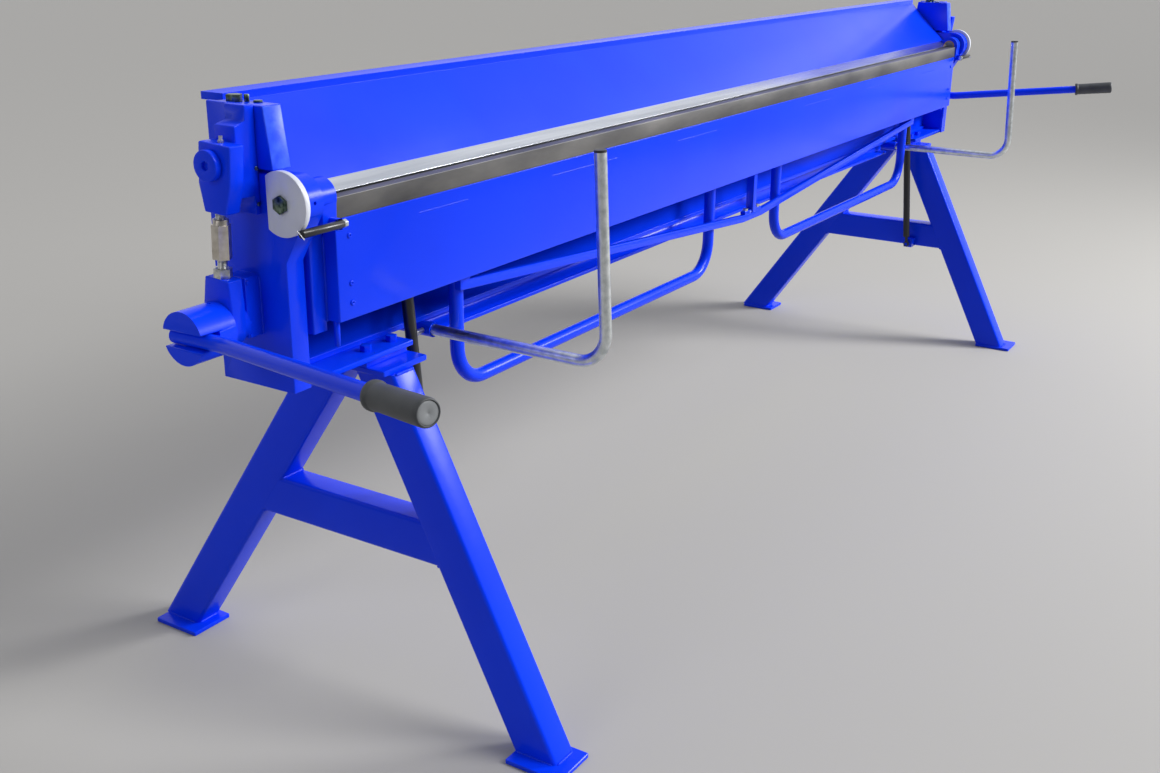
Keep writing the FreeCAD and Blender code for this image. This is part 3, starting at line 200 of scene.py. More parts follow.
# %% [markdown]
# ## The floor
# The floor is plain, pale and dull. It could be a small plane with a curved backdrop, but then
# its edge would show when the machine is seen from another side. One very large square runs
# to the horizon instead. It is part of the stage, not of the machine.

# %% Floor
FLOOR_HALF = 60.0
FLOOR_COLOUR = (0.38, 0.37, 0.35)
FLOOR_ROUGHNESS = 0.85


def plain_material(name, colour, roughness, metallic=0.0):
    """A one-colour finish."""
    material = bpy.data.materials.new(name)
    material.use_nodes = True
    shader = material.node_tree.nodes["Principled BSDF"]
    shader.inputs["Base Color"].default_value = (*colour, 1)
    shader.inputs["Roughness"].default_value = roughness
    shader.inputs["Metallic"].default_value = metallic
    return material


corners = [(-FLOOR_HALF, -FLOOR_HALF, 0), (FLOOR_HALF, -FLOOR_HALF, 0),
           (FLOOR_HALF, FLOOR_HALF, 0), (-FLOOR_HALF, FLOOR_HALF, 0)]
floor_mesh = bpy.data.meshes.new("floor")
floor_mesh.from_pydata(corners, [], [(0, 1, 2, 3)])
floor = bpy.data.objects.new("floor", floor_mesh)
floor_mesh.materials.append(plain_material("pale_floor", FLOOR_COLOUR, FLOOR_ROUGHNESS))
SCENE.collection.objects.link(floor)
print("floor %.0f m wide" % (2 * FLOOR_HALF))

# %% [markdown]
# ## A kit for finishes
# No finish on a real machine is perfectly even. Each could be painted as an image, but a few
# noise textures do the same without one, and they work on any shape. So every finish starts
# from the same small kit: a texture in the object's own space, a noise that varies the
# roughness by a spread up and down, and a fine bump, whose height is in metres. A stretch
# below 1 along X draws the noise out into streaks, like those of rolled or ground bar.

# %% Finish kit
FINISHES = {}
SMOOTHEST = 0.02
ROUGHNESS_DETAIL = 6.0
GRAIN_DETAIL = 3.0


def noise(tree, mapping, scale, detail):
    """The output of a noise texture laid by a mapping."""
    cloud = linked(tree, "ShaderNodeTexNoise", Scale=scale, Detail=detail)
    tree.links.new(mapping.outputs["Vector"], cloud.inputs["Vector"])
    return cloud.outputs["Fac"]


def surface(name, colour, roughness, spread, scale, bump, bump_scale, metallic=0.0, stretch=(1, 1, 1)):
    """A finish whose roughness and height vary with noise in the object's own space."""
    material = plain_material("finish_" + name, colour, roughness, metallic)
    FINISHES[name] = material
    tree = material.node_tree
    shader = tree.nodes["Principled BSDF"]
    place = linked(tree, "ShaderNodeTexCoord")
    mapping = linked(tree, "ShaderNodeMapping", Scale=stretch)
    tree.links.new(place.outputs["Object"], mapping.inputs["Vector"])
    change = linked(tree, "ShaderNodeMapRange")
    change.inputs["To Min"].default_value = max(SMOOTHEST, roughness - spread)
    change.inputs["To Max"].default_value = roughness + spread
    tree.links.new(noise(tree, mapping, scale, ROUGHNESS_DETAIL), change.inputs["Value"])
    tree.links.new(change.outputs["Result"], shader.inputs["Roughness"])
    height = linked(tree, "ShaderNodeBump", Strength=1.0, Distance=bump)
    tree.links.new(noise(tree, mapping, bump_scale, GRAIN_DETAIL), height.inputs["Height"])
    tree.links.new(height.outputs["Normal"], shader.inputs["Normal"])
    return shader, mapping


print("no finish is smoother than %.2f" % SMOOTHEST)

# %% [markdown]
# ## Two tones
# Paint, plating and rubber are a little lighter in some places than in others. Vertex colours
# could hold that, but CAD meshes have too few points. A noise that fades between two tones
# works at any size. Only its middle values are used, so there are clear patches of both
# tones with a soft edge between them.

# %% Two tones
PATCH_DETAIL = 5.0
PATCH_LOW = 0.35
PATCH_HIGH = 0.65


def patchy(made, light, dark, scale):
    """Vary the colour of a finish just made between two tones in soft patches."""
    shader, mapping = made
    tree = shader.id_data
    ramp = linked(tree, "ShaderNodeMapRange")
    ramp.inputs["From Min"].default_value = PATCH_LOW
    ramp.inputs["From Max"].default_value = PATCH_HIGH
    tree.links.new(noise(tree, mapping, scale, PATCH_DETAIL), ramp.inputs["Value"])
    mix = linked(tree, "ShaderNodeMix", data_type="RGBA")
    mix.inputs["A"].default_value = (*dark, 1)
    mix.inputs["B"].default_value = (*light, 1)
    tree.links.new(ramp.outputs["Result"], mix.inputs["Factor"])
    tree.links.new(mix.outputs["Result"], shader.inputs["Base Color"])
    return shader


print("patches run between noise values %.2f and %.2f" % (PATCH_LOW, PATCH_HIGH))

# %% [markdown]
# ## Blue paint
# Almost everything wears the same blue gloss paint, sprayed over steel that is slightly wavy,
# so reflections wobble. A clear coat layer could give the gloss, but it also adds a white
# veil at grazing angles, and the real paint stays deep there. So the base layer's own
# specular level is lowered instead. On the clamping beam's end plates sheets have rubbed the
# paint, which turns it paler and duller.

# %% Blue paint
PAINT = (0.0010, 0.042, 0.88)
PAINT_DEEP = (0.0008, 0.035, 0.80)
RUBBED_PALE = (0.035, 0.11, 0.86)
RUBBED_DEEP = (0.010, 0.060, 0.82)
GLOSS_SPECULAR = 0.17
RUBBED_SPECULAR = 0.25

gloss = surface("blue_paint", PAINT, roughness=0.24, spread=0.05, scale=7.0,
                bump=0.00012, bump_scale=45.0)
shader = patchy(gloss, light=PAINT, dark=PAINT_DEEP, scale=3.0)
shader.inputs["Specular IOR Level"].default_value = GLOSS_SPECULAR

rubbed = surface("worn_blue", PAINT, roughness=0.34, spread=0.06, scale=20.0,
                 bump=0.0002, bump_scale=120.0)
shader = patchy(rubbed, light=RUBBED_PALE, dark=RUBBED_DEEP, scale=60.0)
shader.inputs["Specular IOR Level"].default_value = RUBBED_SPECULAR
print("paints:", ", ".join(FINISHES))

# %% [markdown]
# ## Bare steel
# The nose bar and the bed bar are ground bright where they touch the sheet, pins and washers
# are plain bare steel, and the wing's edge bar still has its dark mill skin. All are metals,
# so their colour is the colour of the reflection. Anisotropic shading could draw the grinding
# lines, but it needs a direction on every face, which a CAD mesh doesn't carry. Noise that is
# stretched along the bar gives the same streaks.

# %% Bare steel
BRIGHT_STEEL = (0.80, 0.83, 0.88)
METAL = 1.0

bar = surface("polished_steel", BRIGHT_STEEL, roughness=0.22, spread=0.10, scale=30.0,
              bump=0.00006, bump_scale=160.0, metallic=METAL, stretch=(0.05, 1, 1))
patchy(bar, light=BRIGHT_STEEL, dark=(0.58, 0.61, 0.67), scale=40.0)
bare = surface("bare_steel", (0.22, 0.225, 0.235), roughness=0.42, spread=0.12, scale=24.0,
               bump=0.00010, bump_scale=120.0, metallic=METAL, stretch=(0.08, 1, 1))
patchy(bare, light=(0.30, 0.30, 0.30), dark=(0.13, 0.135, 0.145), scale=26.0)
skin = surface("mill_steel", (0.15, 0.15, 0.155), roughness=0.46, spread=0.10, scale=20.0,
               bump=0.00015, bump_scale=90.0, metallic=METAL, stretch=(0.35, 1, 1))
patchy(skin, light=(0.24, 0.235, 0.23), dark=(0.10, 0.10, 0.105), scale=9.0)
print("%d finishes so far" % len(FINISHES))

# %% [markdown]
# ## Plated and other metals
# Nuts and screws are zinc plated, the disc's bolts are a darker zinc, the turnbuckles are a
# warmer nickel, the L arms are galvanised, the spring rods are chromed and the bushes are
# bronze.

# %% Plated and other metals
zinc = surface("zinc", (0.58, 0.59, 0.57), roughness=0.36, spread=0.10, scale=80.0,
               bump=0.0001, bump_scale=400.0, metallic=METAL)
patchy(zinc, light=(0.72, 0.72, 0.70), dark=(0.42, 0.44, 0.42), scale=110.0)
nickel = surface("nickel", (0.62, 0.58, 0.52), roughness=0.34, spread=0.08, scale=60.0,
                 bump=0.0001, bump_scale=300.0, metallic=METAL)
patchy(nickel, light=(0.66, 0.62, 0.56), dark=(0.48, 0.44, 0.38), scale=60.0)
galvanised = surface("galvanised", (0.66, 0.70, 0.70), roughness=0.34, spread=0.10, scale=40.0,
                     bump=0.0001, bump_scale=200.0, metallic=METAL)
patchy(galvanised, light=(0.74, 0.77, 0.78), dark=(0.52, 0.56, 0.57), scale=70.0)
dark_bolt_zinc = surface("dark_zinc", (0.10, 0.15, 0.11), roughness=0.30, spread=0.10, scale=80.0,
               bump=0.0001, bump_scale=400.0, metallic=METAL)
patchy(dark_bolt_zinc, light=(0.20, 0.27, 0.21), dark=(0.02, 0.045, 0.03), scale=140.0)
surface("chrome_rod", (0.72, 0.72, 0.74), roughness=0.16, spread=0.05, scale=60.0,
        bump=0.00004, bump_scale=200.0, metallic=METAL)
surface("bronze", (0.45, 0.27, 0.11), roughness=0.35, spread=0.08, scale=60.0,
        bump=0.0001, bump_scale=300.0, metallic=METAL)
print("%d finishes so far" % len(FINISHES))

# %% [markdown]
# ## Grey discs, rubber and black parts
# The angle discs are coated in a pale, slightly blue grey. The grips are black rubber that
# has gone dull, with lighter caps where hands have polished them. The spring tubes and stop
# rods are black enamel, and the plugs in the L arms are black plastic. None of them is a
# metal to the light, so the same kit makes them with its metallic value left at nothing.

# %% Grey discs, rubber and black parts
disc = surface("grey_disc", (0.68, 0.71, 0.76), roughness=0.36, spread=0.08, scale=50.0,
               bump=0.00006, bump_scale=300.0)
patchy(disc, light=(0.62, 0.64, 0.70), dark=(0.54, 0.57, 0.64), scale=12.0)
rubber = surface("grip_rubber", (0.045, 0.050, 0.055), roughness=0.52, spread=0.08, scale=60.0,
                 bump=0.00014, bump_scale=500.0)
patchy(rubber, light=(0.055, 0.060, 0.066), dark=(0.034, 0.038, 0.043), scale=30.0)
surface("worn_rubber", (0.20, 0.21, 0.22), roughness=0.50, spread=0.08, scale=60.0,
        bump=0.00010, bump_scale=400.0)
surface("black_metal", (0.012, 0.012, 0.014), roughness=0.30, spread=0.08, scale=40.0,
        bump=0.00006, bump_scale=200.0)
surface("black_plastic", (0.015, 0.015, 0.016), roughness=0.45, spread=0.06, scale=60.0,
        bump=0.0001, bump_scale=300.0)
print("finishes:", ", ".join(FINISHES))

# %% [markdown]
# ## A finish for every node
# The CAD record names a material slot for each node, such as blue_paint or zinc. Giving each
# node its material by hand would be long, so a loop takes the finish of the same name. Four
# nodes look different from the rest of their slot: the wing's edge bar has mill skin, the
# angle pointers are bright, and the bolts in the discs and slides are dark.

# %% Finish the nodes
slot_of = {part["node"]: part["material_slot"] for part in frame["record"]["subparts"]}
LOOKS_LIKE = {
    "wing_edge_bar": "mill_steel", "angle_pointers": "chrome_rod",
    "disc_bolts": "dark_zinc", "slide_bolts": "dark_zinc",
}
finish_of = {**slot_of, **LOOKS_LIKE}
for node, item in frame["nodes"].items():
    for place in item.material_slots:
        place.material = FINISHES[finish_of[node]]
print("%d nodes have a finish" % len(finish_of))

# %% [markdown]
# ## Copies of nodes
# A CAD node's mesh is never changed. A piece that needs more work starts as a copy, which
# then stands for its node. A CAD mesh comes as loose triangles, which a bevel can't follow
# from one to the next. Remeshing could join them, but it softens every corner. So the copy's
# doubled corners are merged and its flat faces are made whole again.

# %% Copies of nodes
body_of = {node: body for body, nodes in frame["record"]["behaviour"]["bodies"].items() for node in nodes}
FLAT = math.radians(0.25)
SAME_CORNER = 0.01


def whole_faces(node):
    """The node's mesh with doubled corners merged and each flat face in one piece."""
    work = bmesh.new()
    work.from_mesh(frame["nodes"][node].data)
    bmesh.ops.remove_doubles(work, verts=work.verts, dist=SAME_CORNER * MM)
    bmesh.ops.dissolve_limit(work, angle_limit=FLAT, verts=work.verts, edges=work.edges)
    return work


def piece(name, work, body, finish):
    """Turn a bmesh into a smooth-shaded piece that rides on a body."""
    mesh = bpy.data.meshes.new(name)
    work.to_mesh(mesh)
    work.free()
    for face in mesh.polygons:
        face.use_smooth = True
    mesh.materials.append(FINISHES[finish])
    item = bpy.data.objects.new(name, mesh)
    SCENE.collection.objects.link(item)
    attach(item, body)
    return item


print("%d nodes on %d bodies" % (len(body_of), len(set(body_of.values()))))

# %% [markdown]
# ## Rounded edges
# CAD edges are razor sharp, and real ones never are. Sheet and plate edges carry a small
# radius that catches a line of light. A shader can fake that, but the outline stays sharp, so
# a bevel modifier rounds the real edges. It takes every edge that turns by more than the
# sharp angle, and its normals are hardened, which keeps the flat faces flat.

# %% Edge rounding
SHARP = math.radians(28)


def bevelled(item, width, segments=2, marked=False):
    """Round the item's edges, all that are sharp or only the marked ones."""
    bevel = item.modifiers.new("round_edges", "BEVEL")
    bevel.width = width * MM
    bevel.segments = segments
    bevel.limit_method = "WEIGHT" if marked else "ANGLE"
    bevel.angle_limit = SHARP
    bevel.harden_normals = True
    bevel.use_clamp_overlap = not marked


def copy_of(node, work):
    """A piece that stands for a node, from a copy of its mesh."""
    item = piece(node + "_rounded", work, body_of[node], finish_of[node])
    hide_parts(node)
    return item


def round_all_edges(node, width, segments=2):
    """A copy of a node with all its sharp edges rounded."""
    item = copy_of(node, whole_faces(node))
    bevelled(item, width, segments)
    return item


print("edges sharper than %.0f degrees are rounded" % math.degrees(SHARP))

# %% [markdown]
# ## Edges of drilled plates
# A plate with drilled holes or milled slots has many tiny edges, and one of them would hold
# every radius back. The bevel could be told to ignore that, but then it folds over itself at
# the holes. So only the longer outside edges are marked, and the bevel rounds just those.

# %% Long edges
LONG_EDGE = 5.0


def round_long_edges(node, width):
    """A copy of a drilled node with its longer outside edges rounded."""
    work = whole_faces(node)
    mark = work.edges.layers.float.new("bevel_weight_edge")
    for edge in work.edges:
        outside = len(edge.link_faces) == 2 and edge.is_convex and edge.calc_face_angle(0) > SHARP
        edge[mark] = 1.0 if outside and edge.calc_length() > LONG_EDGE * MM else 0.0
        edge.smooth = edge[mark] > 0 or edge.calc_face_angle(0) < SHARP
    bevelled(copy_of(node, work), width, marked=True)


print("marked edges are longer than %.0f mm" % LONG_EDGE)

# %% [markdown]
# ## Plates, castings and bars
# Every part has its own edge radius. Thick castings such as the link eyes are the roundest,
# flame cut plates are next, and bars and nuts have hardly more than a broken edge. One radius
# for all would be simpler, but it makes the castings look sawn and swallows the small nuts.
# The two tables give the radius of each part in millimetres.

# %% Round the plates, castings and bars
DRILLED_PLATES = {
    "left_side_frame": 1.8, "right_side_frame": 1.8, "lower_beam": 1.6, "spacer_plates": 1.2,
    "wing_arms": 2.2, "truss_bow": 2.0, "left_link_eye": 2.6, "right_link_eye": 2.6,
    "left_link_strap": 2.4, "right_link_strap": 2.4, "left_lever_hub": 1.6, "right_lever_hub": 1.6,
    "slide_blocks": 2.0, "support_sockets": 1.0, "truss_post": 1.6,
}
SIMPLE_PARTS = {
    "end_plates": 2.2, "spring_brackets": 1.0, "wing_plate": 1.8, "clamp_beam": 2.0, "nose_bar": 1.2,
    "bed_bar": 0.8, "wing_edge_bar": 0.8, "angle_discs": 0.9, "frame_bolts": 0.8, "truss_screws": 0.8,
    "guide_keys": 0.6, "thrust_washers": 0.5, "left_lock_nut": 0.9,
    "right_lock_nut": 0.9, "left_turnbuckle": 0.7, "right_turnbuckle": 0.7,
}
for node, radius in DRILLED_PLATES.items():
    round_long_edges(node, radius)
for node, radius in SIMPLE_PARTS.items():
    round_all_edges(node, radius)
print("%d nodes have rounded edges" % (len(DRILLED_PLATES) + len(SIMPLE_PARTS)))

# %% [markdown]
# ## Square tube
# The trestles are welded from square tube, whose corners are round along their whole length.
# A bevel on a plain box could round them, but it would also round the level ends, which sit
# flat on the plates. So each tube is a stack of rounded rectangles that are joined by quads,
# and both ends are closed by one flat face.

# %% Tube builders
CORNER_STEPS = 5
QUARTER_TURN = math.pi / 2


def rounded_section(low, high, radius_a, radius_b):
    """Points of a rounded rectangle in a plane, as pairs."""
    points = []
    corners = ((high[0], high[1], 0), (low[0], high[1], 1), (low[0], low[1], 2), (high[0], low[1], 3))
    for a, b, number in corners:
        centre_a = a - radius_a if number in (0, 3) else a + radius_a
        centre_b = b - radius_b if number in (0, 1) else b + radius_b
        for step in range(CORNER_STEPS + 1):
            turn = QUARTER_TURN * (number + step / CORNER_STEPS)
            points.append((centre_a + radius_a * math.cos(turn), centre_b + radius_b * math.sin(turn)))
    return points


def skinned(work, rings):
    """Join rings of points with quads and close both ends."""
    loops = [[work.verts.new(Vector(point) * MM) for point in ring] for ring in rings]
    count = len(loops[0])
    for lower, upper in zip(loops, loops[1:]):
        for index in range(count):
            after = (index + 1) % count
            work.faces.new((lower[index], lower[after], upper[after], upper[index]))
    work.faces.new(list(reversed(loops[0])))
    work.faces.new(loops[-1])
    bmesh.ops.recalc_face_normals(work, faces=work.faces)


print("a tube section has %d points" % (4 * (CORNER_STEPS + 1)))

# %% [markdown]
# ## Legs, crossbar and plates
# A leaning leg is a tube cut level at both ends, so its level section is longer than the tube
# is wide, and the corners there are stretched ellipses. The skew below is that stretch. The
# foot and head plates are flat bar with small round corners, and four rings give their top
# and bottom edges a softened look without a bevel.

# %% Leg, crossbar and plate
TUBE_WIDE = 80.0
TUBE_RADIUS = 8.0
PLATE_CORNER = 3
PLATE_EDGE = 1.2


def leaning_leg(work, wide, bottom, top):
    """A square tube leg from a section (y0, y1, z) to another."""
    rings = []
    for y0, y1, z in (bottom, top):
        skew = (y1 - y0) / TUBE_WIDE
        section = rounded_section((wide[0], y0), (wide[1], y1), TUBE_RADIUS, TUBE_RADIUS * skew)
        rings.append([(x, y, z) for x, y in section])
    skinned(work, rings)


def crossbar(work, wide, tall, ends):
    """A square tube along the depth, its round corners along its length."""
    section = rounded_section((wide[0], tall[0]), (wide[1], tall[1]), TUBE_RADIUS, TUBE_RADIUS)
    skinned(work, [[(x, y, z) for x, z in section] for y in ends])


def plate(work, wide, deep, tall):
    """A flat plate with round corners and softened top and bottom edges."""
    rings = []
    for inset, z in ((PLATE_EDGE, tall[0]), (0, tall[0] + PLATE_EDGE),
                     (0, tall[1] - PLATE_EDGE), (PLATE_EDGE, tall[1])):
        section = rounded_section((wide[0] + inset, deep[0] + inset), (wide[1] - inset, deep[1] - inset),
                                  PLATE_CORNER, PLATE_CORNER)
        rings.append([(x, y, z) for x, y in section])
    skinned(work, rings)


print("tube of %.0f mm with %.0f mm corners" % (TUBE_WIDE, TUBE_RADIUS))

# %% [markdown]
# ## Both trestles
# Each trestle is one weldment: two legs, a crossbar let into both of them, two foot plates and
# a head plate. The CAD trestle has sharp tubes, and rounding its edges would fail where tubes
# meet, so the weldment is built new on the CAD's own flat faces. X is counted from the
# machine's middle, so one loop with a sign of -1 or 1 makes both ends.

# %% Build both trestles
SIDES = (("left", -1), ("right", 1))
LEG_OUTSIDE = 1442
LEG_INSIDE = 1382
FOOT_TOP = 9
HEAD_UNDER = 664
HEAD_TOP = 674
LEG_FRONT = ((-421.2, -331.5, FOOT_TOP), (-88.9, 0.8, HEAD_UNDER))
LEG_REAR = ((468.5, 565.8, FOOT_TOP), (13.2, 110.7, HEAD_UNDER))
CROSSBAR_TALL = (325, 405)
CROSSBAR_ENDS = (-200, 270)
CROSSBAR_INSET = 0.4
FOOT_WIDE = (1472, 1376)
FEET_DEEP = ((-448.4, -334.4), (445.2, 559.2))
HEAD_WIDE = (1457, 1341)
HEAD_DEEP = (-82.1, 111.9)


def across(sign, distances):
    """Two distances from the middle as a low and a high X on one side."""
    return sorted(sign * distance for distance in distances)


for side, sign in SIDES:
    low, high = across(sign, (LEG_OUTSIDE, LEG_INSIDE))
    work = bmesh.new()
    leaning_leg(work, (low, high), *LEG_FRONT)
    leaning_leg(work, (low, high), *LEG_REAR)
    crossbar(work, (low + CROSSBAR_INSET, high - CROSSBAR_INSET), CROSSBAR_TALL, CROSSBAR_ENDS)
    for deep in FEET_DEEP:
        plate(work, across(sign, FOOT_WIDE), deep, (0, FOOT_TOP))
    plate(work, across(sign, HEAD_WIDE), HEAD_DEEP, (HEAD_UNDER, HEAD_TOP))
    item = piece(side + "_trestle_weldment", work, "frame", "blue_paint")
    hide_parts(side + "_trestle")
    split = item.modifiers.new("keep_corners", "EDGE_SPLIT")
    split.split_angle = SHARP
    print(item.name, "%d faces" % len(item.data.polygons))

# %% [markdown]
# ## Rings round a line
# Welds, grips and threads are all rings of points round a line. A curve with a bevel depth
# makes such tubes too, but its radius can't change from point to point round a ring, as a
# thread needs. So two small helpers do it: one finds the directions square to a line, and the
# other sets the points round a centre.

# %% Rings round a line
FULL_TURN = 2 * math.pi


def square_to(along):
    """Two directions that are square to a direction and to each other."""
    side = along.orthogonal().normalized()
    return side, along.cross(side)


def circle(centre, side, other, radii):
    """Points round a centre, one for each radius."""
    points = []
    for index, radius in enumerate(radii):
        turn = FULL_TURN * index / len(radii)
        points.append(centre + radius * (math.cos(turn) * side + math.sin(turn) * other))
    return points


square = circle(Vector((0, 0, 0)), *square_to(Vector((0, 0, 1))), [1] * 4)
print("four points round a line:", [tuple(round(value, 1) for value in point) for point in square])

# %% [markdown]
# ## Weld beads
# A hand weld is a row of overlapping drops. A bump in the paint could hint at one, but a weld
# stands proud and catches light along its whole length. So the bead is a thin tube that
# follows the joint, half sunk in it. Its thickness rises and falls every few millimetres with
# a little randomness, which starts from a fixed number and so is the same in every run.

# %% Bead builder
BEAD_SIDES = 8
BEAD_STEP = 1.4
FEWEST_STEPS = 4
DROP_PITCH = 4.2
DROP_THIN = 0.78
DROP_SWELL = 0.22
DROP_CHANCE = 0.04
BEAD_TIP = 0.35
TIP_LENGTH = 4
dice = random.Random(7)


def bead(work, start, end, radius):
    """A rippled weld bead between two points given in millimetres."""
    start, end = Vector(start), Vector(end)
    length = (end - start).length
    side, other = square_to((end - start).normalized())
    count = max(FEWEST_STEPS, int(length / BEAD_STEP))
    rings = []
    for index in range(count + 1):
        travelled = length * index / count
        swell = DROP_SWELL * abs(math.sin(math.pi * travelled / DROP_PITCH))
        drop = DROP_THIN + swell + dice.uniform(-DROP_CHANCE, DROP_CHANCE)
        tip = min(1.0, BEAD_TIP + travelled / TIP_LENGTH, BEAD_TIP + (length - travelled) / TIP_LENGTH)
        rings.append(circle(start.lerp(end, index / count), side, other, [radius * drop * tip] * BEAD_SIDES))
    skinned(work, rings)


print("weld drops every %.1f mm" % DROP_PITCH)

# %% [markdown]
# ## Welds of the trestles
# The crossbar is welded to the legs above and below, and each leg is welded on three sides to
# its foot plate and its head plate. The beads could follow the round corners of the tube as
# well, but that needs a bent path. Straight runs that stop short of the corners look the same
# from a step away.

# %% Weld the trestles
CORNER_CLEAR = 6
CROSSBAR_OVERRUN = 4
FRONT_GAP = 0.5
FRONT_CLEAR = 8
CROSSBAR_WELDS = ((-130.6, 405), (193.2, 405), (-171.2, 325), (248.8, 325))
CROSSBAR_BEAD = 3.6
FRONT_BEAD = 3.0
SIDE_BEAD = 2.6
for side, sign in SIDES:
    work = bmesh.new()
    low, high = across(sign, (LEG_OUTSIDE - CORNER_CLEAR, LEG_INSIDE + CORNER_CLEAR))
    for y, z in CROSSBAR_WELDS:
        bead(work, (low - CROSSBAR_OVERRUN, y, z), (high + CROSSBAR_OVERRUN, y, z), CROSSBAR_BEAD)
    for leg, back_clear in ((LEG_FRONT, 8), (LEG_REAR, 12)):
        for y0, y1, z in leg:
            bead(work, (low, y0 - FRONT_GAP, z), (high, y0 - FRONT_GAP, z), FRONT_BEAD)
            for x in (sign * LEG_OUTSIDE, sign * LEG_INSIDE):
                bead(work, (x, y0 + FRONT_CLEAR, z), (x, y1 - back_clear, z), SIDE_BEAD)
    item = piece(side + "_trestle_welds", work, "frame", "blue_paint")
    print(item.name, "%d faces" % len(item.data.polygons))

# %% [markdown]
# ## Welds of the frame and the wing
# The bearing block is welded to the side frame, and the side frame to its base plate. On the
# wing the arms, the ends of the U handles and the feet of the bow are welded on, and faint
# weld lines run along its face. The seams could be found from the mesh, but only a few of
# them show, and those are easier to list. Each seam is a pair of end points on the right
# half, and the left half takes the same points mirrored.

# %% Weld the side frames, the arms and the handles
FINE_BEAD = 2.4
BEARING_SEAMS = (
    ((1650.3, -7.3, 782), (1650.3, -7.3, 873)),
    ((1650.3, 38.2, 782), (1650.3, 38.2, 873)),
)
BASE_SEAM = ((1611.5, -56, 700.5), (1611.5, 85, 700.5))
ARM_SEAM = ((1571, -69, 790), (1571, -69, 930))
HANDLE_SEAMS = (
    ((197, -67, 796), (197, -67, 846)),
    ((1218, -67, 796), (1218, -67, 846)),
)
BOW_SEAM = ((1240, -82.4, 791.4), (1210, -82.4, 791.4))
FACE_LINES = (
    ((1370, -94.9, 932.5), (1230, -94.9, 932.5)),
    ((965, -94.9, 932.5), (717, -94.9, 932.5)),
    ((456, -94.9, 932.5), (261, -94.9, 932.5)),
)
FRAME_WELDS = (*BEARING_SEAMS, BASE_SEAM)
WING_WELDS = (ARM_SEAM, *HANDLE_SEAMS, BOW_SEAM, *FACE_LINES)


def on_side(sign, point):
    """A point of the right half on the right (1) or the left (-1) half."""
    return (sign * point[0], point[1], point[2])


for side, sign in SIDES:
    for body, seams in (("frame", FRAME_WELDS), ("wing", WING_WELDS)):
        work = bmesh.new()
        for start, end in seams:
            bead(work, on_side(sign, start), on_side(sign, end), FINE_BEAD)
        piece("%s_%s_welds" % (side, body), work, body, "blue_paint")
print("side frame and wing welds:", 2 * (len(FRAME_WELDS) + len(WING_WELDS)))

# %% [markdown]
# ## Hand grips
# Each lever ends in a rubber grip with a collar at its inner end and a shallow rim round its
# flat cap. It is a turned shape, and a screw modifier could make it, but a small lathe of our
# own also works along a leaning axis: a profile of distances along the axis and radii, swept
# round. The cap is a separate, lighter piece, where hands have polished it.

# %% Grips
LATHE_STEPS = 40
GRIP_PROFILE = (
    (0, 13), (0, 19.2), (0.9, 20.3), (6.4, 20.4), (7.8, 19.6), (9.0, 18.5),
    (12, 18.3), (40, 18.4), (80, 18.7), (110, 18.9), (115.5, 18.9), (118.4, 18.2),
    (119.7, 17.0), (119.9, 16.2), (119.2, 15.4), (117.6, 15.2), (117.5, 5),
)
CAP_PROFILE = ((116.0, 15.6), (118.2, 15.5), (118.8, 14.6), (119.0, 12), (119.1, 1.5), (118.6, 0.8))
GRIP_START = (1894.18, -445.88, 842.06)
GRIP_END = (1929.13, -560.10, 853.60)


def lathed(work, start, end, profile, steps=LATHE_STEPS):
    """Sweep a profile of (distance, radius) pairs round the axis from start to end."""
    start, end = Vector(start), Vector(end)
    along = (end - start).normalized()
    side, other = square_to(along)
    rings = [circle(start + distance * along, side, other, [radius] * steps) for distance, radius in profile]
    skinned(work, rings)


for side, sign in SIDES:
    start, end = on_side(sign, GRIP_START), on_side(sign, GRIP_END)
    work = bmesh.new()
    lathed(work, start, end, GRIP_PROFILE)
    grip = piece(side + "_grip_sleeve", work, side + "_lever", "grip_rubber")
    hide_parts(side + "_lever_grip")
    work = bmesh.new()
    lathed(work, start, end, CAP_PROFILE)
    piece(side + "_grip_cap", work, side + "_lever", "worn_rubber")
print("grips: %d points in the profile" % len(GRIP_PROFILE))

# %% [markdown]
# ## Link screws
# The screws between the turnbuckles and the links show real threads. A row of rings would look
# close to a thread, but rings don't climb. Here a thread is a height field on a cylinder: the
# surface falls and rises once per pitch, and the phase turns with the angle, which makes it a
# helix. A flank slope above 1 leaves the bottom of the groove flat.

# %% Threads
PITCH = 2.0
RINGS_PER_PITCH = 6
THREAD_STEPS = 28
THREAD_RADIUS = 7.9
THREAD_DEPTH = 1.1
FLANK_SLOPE = 1.3
SCREW_START = (1706.32, 3.35, 1011)
SCREW_END = (1706.32, 11.77, 858)


def thread_radii(travelled):
    """The thread's radius at each step round it, at a distance along the screw."""
    radii = []
    for step in range(THREAD_STEPS):
        wave = abs(2 * ((travelled / PITCH - step / THREAD_STEPS) % 1.0) - 1)
        radii.append(THREAD_RADIUS - THREAD_DEPTH * min(1.0, FLANK_SLOPE * wave))
    return radii


def threaded(work, start, end):
    """A threaded rod from start to end."""
    start, end = Vector(start), Vector(end)
    length = (end - start).length
    along = (end - start).normalized()
    side, other = square_to(along)
    count = int(length / (PITCH / RINGS_PER_PITCH))
    rings = []
    for index in range(count + 1):
        travelled = length * index / count
        rings.append(circle(start + travelled * along, side, other, thread_radii(travelled)))
    skinned(work, rings)


for side, sign in SIDES:
    work = bmesh.new()
    threaded(work, on_side(sign, SCREW_START), on_side(sign, SCREW_END))
    item = piece(side + "_link_thread", work, side + "_link", "zinc")
    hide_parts(side + "_link_screw")
print("threads of %.1f mm pitch" % PITCH)

# %% [markdown]
# ## Link pin caps
# The link pins end in blue caps with a hexagon socket, which looks wider in the photograph
# than in the CAD model. A new cap could be built, but the copy already has the right rim. So
# the points near the pin's axis are moved outwards from it, and the rim stays.

